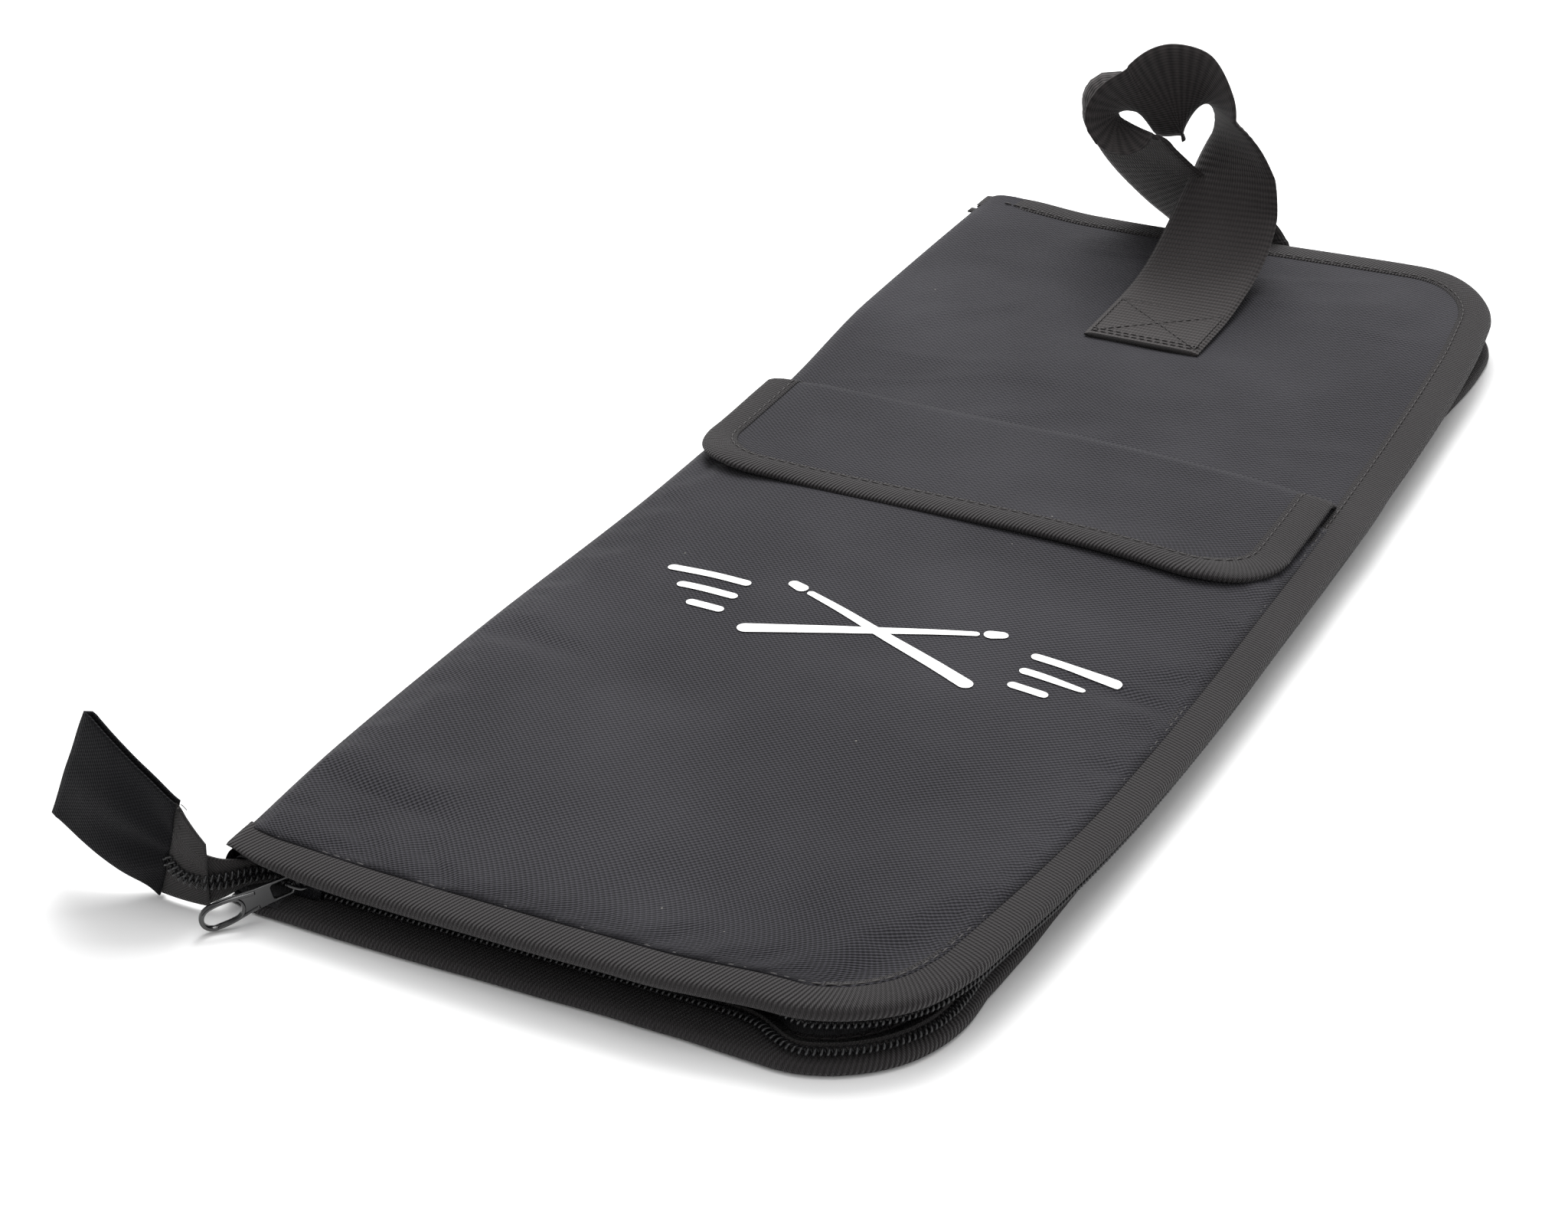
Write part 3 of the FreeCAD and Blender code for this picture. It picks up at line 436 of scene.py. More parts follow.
def webbing_material(name, colours):
    """Fine lengthwise threads over the ribs that the mesh itself has."""
    material, tree, core = shader(name, colours[0], 0.75, sheen=0.12, specular=0.35)
    place, run, width = cloth_places(tree)
    thread = wave(tree, width, 0.0011)
    cross = wave(tree, run, 0.0021)
    height = math_node(tree, "MULTIPLY_ADD", thread, 0.25, 0.5)
    height = math_node(tree, "MULTIPLY_ADD", cross, 0.35, height)
    height = math_node(tree, "MULTIPLY_ADD", noise_node(tree, place, 1300, 2), 0.35, height)
    worn(tree, core, place, ramp(tree, height, 0.15, 1.15), colours)
    bump(tree, core, height, 0.00028)
    return material


def smooth_material(name, colour, roughness, coat, metal=0.0, grain=700):
    """Moulded nylon or gloss paint, with faint unevenness and handling marks."""
    material, tree, core = shader(name, colour, roughness, coat=coat, metal=metal)
    where = tree.nodes.new("ShaderNodeTexCoord").outputs["Object"]
    marks = noise_node(tree, where, grain, 4)
    rough = math_node(tree, "MULTIPLY_ADD", marks, 0.16, roughness - 0.06)
    tree.links.new(rough, core.inputs["Roughness"])
    lighter = tuple(min(1, value * 1.7 + 0.004) for value in colour)
    tree.links.new(mixed(tree, ramp(tree, marks, 0.55, 0.8), colour, lighter), core.inputs[0])
    bump(tree, core, marks, 0.00003)
    return material


def ink_material(name):
    """Opaque ink on cloth: chalky, and thin where it misses the weave's hollows."""
    material, tree, core = shader(name, (0.8, 0.8, 0.8), 0.7)
    place = tree.nodes.new("ShaderNodeTexCoord").outputs["Object"]
    thin = ramp(tree, noise_node(tree, place, 1500, 2), 0.62, 0.74)
    tree.links.new(mixed(tree, thin, (0.86, 0.86, 0.85), (0.55, 0.55, 0.56)), core.inputs[0])
    bump(tree, core, noise_node(tree, place, 1500, 2), 0.00008)
    return material


CANVAS = woven_material(
    "canvas", ((0.002, 0.002, 0.003), (0.033, 0.031, 0.039), (0.037, 0.0355, 0.043)),
    0.0015, 0.0004, 0.07, gloss=0.22,
)
# The tail tab's canvas is a darker copy of the cover canvas: its colours paint in the shade that
# the upright tab gets.
SHADED_TAIL_CANVAS = woven_material(
    "tail_canvas_painted_shade", ((0.0015, 0.0015, 0.002), (0.009, 0.009, 0.0105), (0.01, 0.01, 0.012)),
    0.0011, 0.0003, 0.02, gloss=0.12,
)
LINING = woven_material(
    "lining", ((0.012, 0.012, 0.014), (0.03, 0.03, 0.034), (0.03, 0.03, 0.035)),
    0.0005, 0.0001, 0.2,
)
TAPE = twill_material(
    "binding_tape", ((0.009, 0.0075, 0.0075), (0.03, 0.026, 0.028), (0.024, 0.021, 0.022)),
    0.0011, 0.00045, 0.1, lean=0.35,
)
ZIP_TAPE = twill_material(
    "zip_tape", ((0.009, 0.008, 0.008), (0.034, 0.03, 0.03), (0.03, 0.027, 0.027)),
    0.0008, 0.0002, 0.12, zigzag=0.004,
)
WEBBING = webbing_material(
    "webbing", ((0.01, 0.0085, 0.0085), (0.042, 0.036, 0.036), (0.04, 0.034, 0.034))
)
FASTENER = woven_material(
    "fastener_tape", ((0.008, 0.008, 0.008), (0.03, 0.03, 0.03), (0.02, 0.02, 0.02)),
    0.0011, 0.0005, 0.3,
)
COIL = smooth_material("zip_coil", (0.012, 0.012, 0.013), 0.3, 0.1)
METAL = smooth_material("black_metal", (0.006, 0.006, 0.007), 0.14, 0.8, grain=220)
THREAD = smooth_material("thread", (0.022, 0.019, 0.019), 0.6, 0.0)
INK = ink_material("ink")


# ---------------------------------------------------------------- the covers' outline
def free_edge(y, inset):
    """The zipper side's x at a place along the bag: it rounds off at both ends."""
    radius = ZIP_CORNER - inset
    into = np.clip(np.abs(y) - (HALF_LONG - ZIP_CORNER), 0, radius)
    return HALF_WIDE - inset - radius + np.sqrt(radius**2 - into**2)


def edge_path(inset, step, start=None):
    """Points and outward directions along the near edge, the zipper side and the far edge."""
    radius = ZIP_CORNER - inset
    turn_x, turn_y = HALF_WIDE - ZIP_CORNER, HALF_LONG - ZIP_CORNER
    half = HALF_LONG - inset
    start = -HALF_WIDE if start is None else start
    points, outward = [], []

    def rounded(first, last, far):
        for turn in np.linspace(first, last, max(8, int(radius * 1.57 / step))):
            aim = (math.cos(turn), math.sin(turn))
            points.append((turn_x + radius * aim[0], far * turn_y + radius * aim[1]))
            outward.append(aim)

    for x in np.arange(start, turn_x, step):
        points.append((x, -half))
        outward.append((0, -1))
    rounded(-math.pi / 2, 0, -1)
    for y in np.arange(-turn_y + step, turn_y, step):
        points.append((HALF_WIDE - inset, y))
        outward.append((1, 0))
    rounded(0, math.pi / 2, 1)
    for x in np.arange(turn_x - step, -HALF_WIDE, -step):
        points.append((x, half))
        outward.append((0, 1))
    points.append((-HALF_WIDE, half))
    outward.append((0, 1))
    return np.array(points), np.array(outward)


def swept(profile, path, outward, settle):
    """Sections of a profile of (inset, height) pairs, set along an edge path."""
    profile = np.asarray(profile, float)
    spots = path[:, None, :] - outward[:, None, :] * profile[None, :, :1]
    heights = np.broadcast_to(profile[None, :, 1:], (len(path), len(profile), 1))
    return settle(np.concatenate([spots, heights], axis=2))


# ---------------------------------------------------------------- outer cloth
def upper_face(x, y):
    """How far the padded front cover's cloth stands above its edge, with its creases."""
    from_edge = np.minimum.reduce([
        free_edge(y, 0) - x, HALF_LONG - np.abs(y), (x + HALF_WIDE) * 0.8 + 4
    ])
    crown = 1.1 * ease(from_edge, BINDING - 1, 55)
    soft = 0.85 * ripple(x, y, 46, 3.1) + 0.45 * ripple(x, y * 0.8, 21, 8.4)
    fold = 1.0 - np.abs(ripple((x + 0.5 * y) * 0.55, (y - 0.35 * x) * 1.7, 44, 5.7)) * 5
    crease = 0.4 * np.clip(fold, 0, 1)
    stand = crown + (soft + crease) * ease(from_edge, BINDING - 1, BINDING + 14)
    return stand * (0.15 + 0.85 * ease(y, 46, 62))


def cover_rows():
    """Places along the bag, closer together where the corners round off."""
    middle = np.arange(-HALF_LONG + ZIP_CORNER, HALF_LONG - ZIP_CORNER + 1, 2.4)
    end = ZIP_CORNER * np.sin(np.linspace(0, math.pi / 2, 26)[1:]) - ZIP_CORNER
    far = HALF_LONG + end - 1.2
    return np.concatenate([-far[::-1], middle, far])


def round_cloth(rise, radius, top, low, inset, front_crown):
    """A cloth from the back cover's free edge, round the spine, to the front cover's."""
    y = cover_rows()[:, None]
    centre_x, centre_z = -HALF_WIDE + rise + radius, (top + low) / 2
    squash = (top - low) / 2 / radius
    right = free_edge(y, inset) - 1.5
    flat = np.linspace(0, 1, 78)[None, :]
    turn = np.linspace(-math.pi / 2, -1.5 * math.pi, 22)[None, 1:-1]
    under_x = right + (centre_x - right) * flat
    over_x = centre_x + (right - centre_x) * flat
    arc_x = centre_x + radius * np.cos(turn) + 0 * y
    arc_z = centre_z + radius * squash * np.sin(turn) + 0 * y
    x = np.concatenate([under_x, arc_x, over_x], axis=1)
    z = np.concatenate([under_x * 0 + low, arc_z, over_x * 0 + top], axis=1)
    if front_crown:
        z[:, -flat.shape[1]:] += upper_face(over_x, y + 0 * over_x)
    return np.stack([x, y + 0 * x, z], axis=2)


# The front lining keeps above this height, so that all of it follows the front cover.
LINING_LOW = 11.7


def outer_cloth():
    points = settle_round(round_cloth(0, 7.6, TOP - 0.2, 0.35, 0, True))
    piece = grid_mesh("cover_canvas", points, flip=True)
    layers = ("back_shell", "front_shell", "back_foam", "front_foam")
    dress(piece, CANVAS, replaces=layers)
    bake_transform(piece)


def inner_cloth():
    points = round_cloth(2.2, 4.9, FRONT_LOW + 0.6, BACK_TOP - 0.5, 3, False)
    x, y = points[..., 0], points[..., 1]
    upper = points[..., 2] > HINGE[2]
    points[..., 2] -= np.where(upper, 0.5 + 0.5 * ripple(x, y, 38, 2.2), 0) * ease(x, -80, -60)
    points = settle_round(points)
    points[..., 2] = np.where(upper, np.maximum(points[..., 2], LINING_LOW), points[..., 2])
    piece = grid_mesh("inner_lining", points)
    dress(piece, LINING, replaces=("back_lining", "front_lining"))
    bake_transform(piece)


# ---------------------------------------------------------------- bindings
def binding_profile(low, high, flat_under):
    """A tape folded round the edge: puffed, with a dip where it is sewn down."""
    under = 0.0 if flat_under else 0.35
    thin = 0.5
    return [
        (BINDING + 0.2, high - 0.15), (BINDING - 0.5, high + 0.3), (BINDING - 1.6, high + 0.06),
        (BINDING - 2.6, high + 0.32), (7, high + 0.4), (4.2, high + 0.4), (1.8, high + 0.28),
        (0.5, high - 0.05), (-0.15, high - 0.9), (-0.3, (high + low) / 2), (-0.15, low + 0.9),
        (0.5, low + 0.2), (1.8, low - under), (5, low - under), (9, low - under),
        (BINDING, low), (BINDING, low + thin), (3, low + thin), (1.6, (high + low) / 2),
        (3, high - thin), (BINDING, high - thin),
    ]


def bindings():
    path, outward = edge_path(0, 2.0)
    kept = path[:, 0] > 1.5 - HALF_WIDE
    path, outward = path[kept], outward[kept]
    wobble = 0.22 * ripple(path[:, 0], path[:, 1], 17, 1.3)[:, None]
    for name, body, settle, low, high in (
        ("front_edge_tape", "front_cover", settle_front, FRONT_LOW, TOP),
        ("back_edge_tape", "back_cover", settle_back, 0.05, BACK_TOP),
    ):
        profile = binding_profile(low, high, body == "back_cover")
        sections = swept(profile, path + outward * wobble, outward, settle)
        slim = 0.2 + 0.8 * ease(path[:, 0], -HALF_WIDE, -HALF_WIDE + 24)[:, None]
        hold = low if body == "back_cover" else high
        sections[..., 2] = hold + (sections[..., 2] - hold) * slim
        piece = grid_mesh(name, sections, wrap=True, caps="round", flip=True)
        node = "front_binding" if body == "front_cover" else "back_binding"
        dress(piece, TAPE, body, (node,))
        seam, _ = edge_path(BINDING - 1.6, 2.0)
        seam = seam[seam[:, 0] > 9 - HALF_WIDE]
        line = np.column_stack([seam, np.full(len(seam), high + 0.2)])
        row = stitch_row(settle(line), (0, 0, 1))
        sew(f"{body}_edge_stitches", row, body)


# ---------------------------------------------------------------- zipper
def chain_inset(path):
    """The chain lies deep in the near gap and comes out to the edge round the corners."""
    x, y = path[:, 0], path[:, 1]
    near = ease(x, 46, 68) * (1 - ease(y, 60, 190))
    return CHAIN_INSET - (CHAIN_INSET - 2.4) * near


def chain_route(start, level):
    path, outward = edge_path(0, 1.6, start)
    inset = chain_inset(path)[:, None]
    return np.column_stack([path - outward * inset, np.full(len(path), level)]), outward


COIL_PITCH, COIL_RADIUS, COIL_WIRE = 1.5, 1.0, 0.36


def coil_mesh(name, route, across, size=1.0):
    """A nylon coil: one thread wound round a route, flattened where it is sewn down."""
    route = along(route[:: max(1, len(route) // 90)], COIL_PITCH / 10)
    run = units(np.gradient(route, axis=0))
    side = units(np.cross(run, np.broadcast_to(across, run.shape)))
    up = np.cross(side, run)
    turn = 2 * math.pi * np.arange(len(route)) / 10
    wound = (
        route + side * (size * COIL_RADIUS * np.cos(turn))[:, None]
        + up * (size * COIL_RADIUS * 0.75 * np.sin(turn))[:, None]
    )
    tangent = units(np.gradient(wound, axis=0))
    out = units(wound - route)
    other = np.cross(tangent, out)
    corners = [
        wound + out * COIL_WIRE * math.cos(a) + other * COIL_WIRE * math.sin(a)
        for a in np.linspace(0, 2 * math.pi, 6)[:-1]
    ]
    return grid_mesh(name, np.stack(corners, axis=1), wrap=True, caps="round", flip=True)


def zipper():
    gap_low, gap_high = BACK_TOP + 0.3, FRONT_LOW - 0.3
    for side, body, settle, level, root, start in (
        ("back", "back_cover", settle_back, gap_low + 1.7, gap_low - 0.4, -84),
        ("front", "front_cover", settle_front, gap_high - 1.7, gap_high + 0.4, -69),
    ):
        route, outward = chain_route(start, level)
        coil = coil_mesh(f"{side}_coil", settle(route), (0, 0, 1))
        dress(coil, COIL, body, (f"{side}_zip_coil",))
        inward = np.column_stack([outward, np.zeros(len(outward))])
        behind = route - inward * 1.5
        edge = behind + np.array([0, 0, 0.9 if side == "back" else -0.9])
        foot = behind - inward * 0.8
        foot[:, 2] = root
        rows = np.stack([edge, behind, foot, foot - inward * 4], axis=1)
        tape = cloth(f"{side}_tape", settle(rows), 0.5)
        dress(tape, ZIP_TAPE, body, (f"{side}_zip_tape",))
        seam = route - inward * 1.15
        row = stitch_row(settle(seam), (0, 0, 1), 2.2, 1.6, 0.2)
        sew(f"{side}_coil_stitches", row, body)


def closed_end():
    """The closed stretch of zipper that leaves the slider and turns out past the corner."""
    plan = [
        (-80, -226, 8.6), (-85, -227.2, 8.6), (-90, -231, 8.4), (-94, -235.3, 8.2),
        (-97, -237.2, 8.2),
    ]
    middle = along(plan, 0.8)
    up = np.array([0, 0, 1.0])
    tall = np.interp(middle[:, 0], [-97, -90, -80], [7.0, 3.5, 3.4])
    lifts = np.linspace(-1, 1, 9)
    rows = middle[:, None, :] + (tall[:, None] * lifts)[:, :, None] * up
    tape = cloth("closed_end_tape", rows, 0.6)
    dress(tape, ZIP_TAPE, "back_cover", ("zip_closed_end",))
    run = units(np.gradient(middle, axis=0))
    out = np.cross(run, up)
    out *= np.sign(-out[:, 1:2])
    for name, lift in (("closed_end_coil_low", -1.05), ("closed_end_coil_high", 1.05)):
        coil = coil_mesh(name, middle + out * 0.9 + up * lift, (0, 0, 1))
        dress(coil, COIL, "back_cover")


# ---------------------------------------------------------------- slider and pull
def stamped(name, outlines, thick, edge):
    """A plate cut to closed outlines in its own XY plane, with rounded edges."""
    curve = bpy.data.curves.new(name, "CURVE")
    curve.dimensions = "2D"
    curve.fill_mode = "BOTH"
    curve.extrude = (thick / 2 - edge) * MM
    curve.bevel_depth = edge * MM
    curve.bevel_resolution = 3
    curve.offset = -edge * MM
    for outline in outlines:
        spline = curve.splines.new("POLY")
        spline.points.add(len(outline) - 1)
        for point, (x, y) in zip(spline.points, outline):
            point.co = (x * MM, y * MM, 0, 1)
        spline.use_cyclic_u = True
    holder = linked(f"{name}_curve", curve)
    bpy.context.view_layer.update()
    solid = holder.evaluated_get(bpy.context.evaluated_depsgraph_get())
    mesh = bpy.data.meshes.new_from_object(solid)
    bpy.data.objects.remove(holder)
    mesh.name = name
    mesh.shade_smooth()
    return linked(name, mesh)


def arc(centre, radius, start, stop, steps):
    turns = np.radians(np.linspace(start, stop, steps))
    return [(centre[0] + radius * math.cos(t), centre[1] + radius * math.sin(t)) for t in turns]


def round_box(low, high, radius):
    (a, b), (c, d) = low, high
    left, right, near, far = a + radius, c - radius, b + radius, d - radius
    outline = []
    for number, centre in enumerate(((right, near), (right, far), (left, far), (left, near))):
        outline += arc(centre, radius, 90 * number - 90, 90 * number, 5)
    return outline


def place(piece, matrix):
    piece.data.transform(matrix)
    return piece


def rod(name, route, radius, sides=8):
    """A round bar along a route."""
    route = np.asarray(route, float)
    run = units(np.gradient(route, axis=0))
    side = units(np.cross(run, np.array([0.13, 0.21, 0.97])))
    up = np.cross(side, run)
    ring = [
        route + side * radius * math.cos(a) + up * radius * math.sin(a)
        for a in np.linspace(0, 2 * math.pi, sides + 1)[:-1]
    ]
    return grid_mesh(name, np.stack(ring, axis=1), wrap=True, caps="round")


PULL_HEADING, PULL_DROP = math.radians(229.5), math.radians(13.3)
PULL_LONG, PULL_TIP, PULL_HALF, PULL_NECK = 19.6, 3.7, 2.8, 9


def slider():
    low, high = span("slider_body")
    upright = Matrix.Rotation(math.radians(90), 4, "X")
    shape = round_box((low[0], low[2]), (high[0], high[2]), 2.2)
    pieces = []
    for name, y in (("slider_outer_plate", low[1] + 0.5), ("slider_inner_plate", high[1] - 0.5)):
        plate = stamped(name, [shape], 1.0, 0.35)
        pieces.append(place(plate, Matrix.Translation((0, y * MM, 0)) @ upright))
    nose = round_box((high[0] - 3.4, 7), (high[0] - 0.4, 8.5), 0.6)
    wedge = stamped("slider_wedge", [nose], 4.4, 0.2)
    middle = (low[1] + high[1]) / 2
    pieces.append(place(wedge, Matrix.Translation((0, middle * MM, 0)) @ upright))
    for number, level in enumerate((low[2] + 0.3, high[2] - 0.3)):
        strip = round_box((low[0] + 0.6, low[1] + 0.3), (high[0] - 0.6, low[1] + 2.4), 0.6)
        flange = stamped(f"slider_flange_{number}", [strip], 0.6, 0.2)
        pieces.append(place(flange, Matrix.Translation((0, 0, level * MM))))
    for piece in pieces:
        dress(piece, METAL, "zip_slider")
    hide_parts("slider_body")
    low, high = span("slider_bail")
    z = (low[2] + high[2]) / 2
    leg = [(0.5, high[1] + 0.3), (0.5, low[1] + 1.6), (1.2, low[1] + 0.7), (2.4, low[1] + 0.5)]
    bridge = [(low[0] + x, y, z) for x, y in leg] + [(high[0] - x, y, z) for x, y in leg[::-1]]
    bail = rod("slider_bridge", along(bridge, 0.3), 0.5, 10)
    dress(bail, METAL, "zip_slider", ("slider_bail",))


def pull_outline(shrink):
    """The pull's edge: straight by the eye, swelling towards the round end."""
    half, tip = PULL_HALF - shrink, PULL_TIP - shrink
    return (
        [(-0.6 + shrink, -half + 0.8), (0.2 + shrink, -half), (PULL_NECK, -half)]
        + arc((PULL_LONG, 0), tip, -82, 82, 25)
        + [(PULL_NECK, half), (0.2 + shrink, half), (-0.6 + shrink, half - 0.8)]
    )


def long_hole(start, stop, half):
    return arc((stop, 0), half, -90, 90, 13) + arc((start, 0), half, 90, 270, 13)


def pull():
    hang = frame["joints"][3]["pos_m"]
    turn = Matrix.Rotation(PULL_HEADING, 4, "Z") @ Matrix.Rotation(PULL_DROP, 4, "Y")
    stand = Matrix.Translation(hang) @ turn @ Matrix.Rotation(math.radians(90), 4, "X")
    eye = round_box((0.6, -2), (5.2, 2), 0.7)
    hole = long_hole(15.4, PULL_LONG, 2.5)
    tab = stamped("pull_tab", [pull_outline(0), eye, hole], 1.0, 0.3)
    dress(place(tab, stand), METAL, "zip_pull", ("zip_pull",))
    rim = pull_outline(0.75)[2:-2]
    inner = long_hole(15.4, PULL_LONG, 2.95)
    for number, line in enumerate((rim, inner + inner[:1])):
        for face in (-1, 1):
            route = along([(x, y, face * 0.45) for x, y in line], 0.5)
            ridge = rod(f"pull_rim_{number}_{'back' if face < 0 else 'front'}", route, 0.42)
            dress(place(ridge, stand), METAL, "zip_pull")


# ---------------------------------------------------------------- the zipper's tail
TAIL_Y = -237.2


def tail_sheet(corners, bow, rows=26, cols=22):
    """A sheet stretched between four corners, bowed out of its plane."""
    top_a, top_b, low_a, low_b = (np.array(c, float) for c in corners)
    s = np.linspace(0, 1, cols)[None, :, None]
    t = np.linspace(0, 1, rows)[:, None, None]
    flat = (top_a * (1 - s) + low_a * s) * (1 - t) + (top_b * (1 - s) + low_b * s) * t
    curve = bow * np.sin(math.pi * t[..., 0]) * np.sin(math.pi * (0.15 + 0.7 * s[..., 0]))
    flat[..., 1] += curve
    return flat


def tail():
    seam_top, seam_foot = (-102.4, TAIL_Y, 28.2), (-109.8, TAIL_Y, 1.2)
    ends = [(-95.4, TAIL_Y, 18.6), seam_top, (-96, TAIL_Y, 1.4), seam_foot]
    tape = tail_sheet(ends, -0.8, 20, 24)
    piece = cloth("tail_tape_cloth", tape, 0.6)
    dress(piece, ZIP_TAPE, "zip_tail", ("tail_tape",))
    for name, lift in (("tail_coil_low", -1.05), ("tail_coil_high", 1.05)):
        line = [
            (-96.9, TAIL_Y - 1.1, 8.3), (-100.5, TAIL_Y - 1.9, 8.6), (-104, TAIL_Y - 1.9, 10.2),
            (-106.6, TAIL_Y - 1.2, 12.4),
        ]
        route = along(line, 0.5)
        run = units(np.gradient(route, axis=0))
        up = units(np.cross(run, np.array([0, 1.0, 0])))
        coil = coil_mesh(name, route + up * lift * 0.8, (0, 1, 0), 0.75)
        dress(coil, COIL, "zip_tail", ("tail_coil",) if lift > 0 else ())
    corners = [
        (-101.6, TAIL_Y, 28.6), (-125.0, TAIL_Y, 46.6), (-109.6, TAIL_Y, 0.9),
        (-139.2, TAIL_Y, 14.6),
    ]
    body = tail_sheet(corners, -2.2, 40, 34)
    body[..., 1] += 0.5 * ripple(body[..., 0], body[..., 2], 11, 4.0)
    aim = np.arctan2(body[..., 2] - 12, -100 - body[..., 0])
    away = np.hypot(body[..., 2] - 12, -100 - body[..., 0])
    body[..., 1] += 0.6 * np.sin(8 * aim) * ease(away, 2, 12) * (1 - ease(away, 16, 34))
    front = body - np.array([0, 0.7, 0])
    back = body + np.array([0, 0.55, 0])
    half = np.concatenate([front, back[::-1][1:]], axis=0)
    fold = len(front)
    half[fold - 2:fold + 1, :, 0] -= np.array([0.2, 0.6, 0.2])[:, None]
    piece = cloth("tail_end_tab", half, 0.55)
    # The tab wears the darkened canvas copy, which is painted shade.
    dress(piece, SHADED_TAIL_CANVAS, "zip_tail", ("tail_tab",))
    seams = [front[2:-2, column] for column in (1, 30)] + [front[row, 2:-2] for row in (3, 12)]
    rows = []
    for seam in seams:
        rows += stitch_row(seam - np.array([0, 0.12, 0]), (0, -1, 0), 3.0, 2.3, 0.28)
    sew("tail_stitches", rows, "zip_tail")
    frays = []
    for number in range(12):
        share = DICE.random()
        root = np.array(corners[0]) * (1 - share) + np.array(corners[2]) * share
        root += np.array([DICE.uniform(-0.5, 0.6), DICE.uniform(-1.6, 0.9), 0])
        long = DICE.uniform(1.2, 4.2)
        bend = np.array([DICE.uniform(0.2, 1.6), DICE.uniform(-1.2, 0.3), DICE.uniform(-1.2, 1.0)])
        steps = np.linspace(0, 1, 6)[:, None]
        route = root + units(bend) * long * steps + np.array([0, 0, -0.9]) * long * 0.25 * steps**2
        route[:, 2] = np.maximum(route[:, 2], 0.3)
        frays.append(rod(f"fray_{number}", route, 0.11, 5))
    lead = frays[0]
    chosen = {"selected_editable_objects": frays, "selected_objects": frays}
    with bpy.context.temp_override(active_object=lead, **chosen):
        bpy.ops.object.join()
    lead.name = "tail_frays"
    dress(lead, THREAD, "zip_tail")


# ---------------------------------------------------------------- inside pocket for the sticks
def stick_pocket():
    """Three long channels of cloth, sewn down along their sides and at the near end."""
    x = np.linspace(STICK_LOW[0], STICK_HIGH[0], 85)[None, :]
    y = np.linspace(STICK_LOW[1], STICK_HIGH[1] - 4, 120)[:, None]
    room = (STICK_HIGH[0] - STICK_LOW[0]) / 3
    share = (x - STICK_LOW[0]) / room % 1
    share = np.where(x >= STICK_HIGH[0] - 0.1, 1, share)
    puff = np.sin(math.pi * share) ** 0.55 * ease(y, STICK_LOW[1], STICK_LOW[1] + 22)
    wavy = 1 + 0.22 * ripple(x, y, 30, 6.0)
    z = BACK_TOP - 0.2 + 2.5 * puff * wavy + 0 * x
    points = np.stack([x + 0 * y, y + 0 * x, z], axis=2)
    piece = cloth("stick_pocket_panel", settle_back(points), 0.5)
    dress(piece, LINING, "back_cover", ("stick_pocket",))
    mouth = points[-6:].copy()
    mouth[..., 2] += 0.3
    mouth[..., 1] = np.linspace(STICK_HIGH[1] - 10, STICK_HIGH[1] - 1, 6)[:, None]
    tape = cloth("stick_pocket_mouth_tape", settle_back(mouth), 1.0)
    dress(tape, TAPE, "back_cover", ("stick_pocket_binding",))
    rows = []
    for number in range(4):
        column = min(int(round(number * 84 / 3)), 84)
        inward = {0: 0.8, 3: -0.8}.get(number, 0)
        line = points[::2, column] + np.array([inward, 0, 0.3])
        rows += stitch_row(settle_back(line), (0, 0, 1))
    near = points[0] + np.array([0, 1.2, 0.35])
    rows += stitch_row(settle_back(near), (0, 0, 1))
    rows += stitch_row(settle_back(mouth[1] + np.array([0, 0, 0.15])), (0, 0, 1))
    sew("stick_pocket_stitches", rows, "back_cover")


# ---------------------------------------------------------------- outside pocket
SIM_FRAMES = 22


def simulate(piece, pinned, pressure, slack, stiffness, cap):
    """Lets Blender's cloth swell and crease a sheet; no point may move more than cap."""
    rest = np.array([v.co for v in piece.data.vertices])
    group = piece.vertex_groups.new(name="sewn")
    group.add([int(n) for n in np.flatnonzero(pinned)], 1.0, "REPLACE")
    effect = piece.modifiers.new("Cloth", "CLOTH")
    effect.settings.quality = 6
    effect.settings.mass = 0.25
    effect.settings.tension_stiffness = stiffness
    effect.settings.compression_stiffness = stiffness
    effect.settings.shear_stiffness = stiffness / 3
    effect.settings.bending_stiffness = 0.6
    effect.settings.shrink_min = -slack
    effect.settings.use_pressure = True
    effect.settings.uniform_pressure_force = pressure
    effect.settings.effector_weights.gravity = 0
    effect.settings.vertex_group_mass = "sewn"
    effect.collision_settings.use_collision = False
    scene = bpy.context.scene
    effect.point_cache.frame_start, effect.point_cache.frame_end = 1, SIM_FRAMES
    for number in range(1, SIM_FRAMES + 1):
        scene.frame_set(number)
    settled = piece.evaluated_get(bpy.context.evaluated_depsgraph_get())
    ends = np.array([v.co for v in settled.data.vertices])
    piece.modifiers.remove(effect)
    piece.vertex_groups.remove(group)
    scene.frame_set(1)
    move = ends - rest
    far = np.linalg.norm(move, axis=1, keepdims=True)
    move *= np.minimum(1, cap * MM / np.maximum(far, 1e-9))
    piece.data.vertices.foreach_set("co", (rest + move).astype(np.float32).ravel())
    piece.data.update()


POCKET_MOUTH = POCKET_HIGH[1] - 4


def pocket_top(x, y):
    """The flat outside pocket: flush at its sewn edges, soft and a little full between."""
    from_side = np.minimum(free_edge(y, BINDING - 1) - x, (x + HALF_WIDE) * 0.9)
    fill = ease(np.minimum(from_side, y + HALF_LONG - BINDING + 1), 0, 46)
    soft = 0.6 * ripple(x, y, 52, 9.0) + 0.35 * ripple(x, y, 24, 4.4)
    return TOP + 0.5 + 1.9 * fill + soft * fill


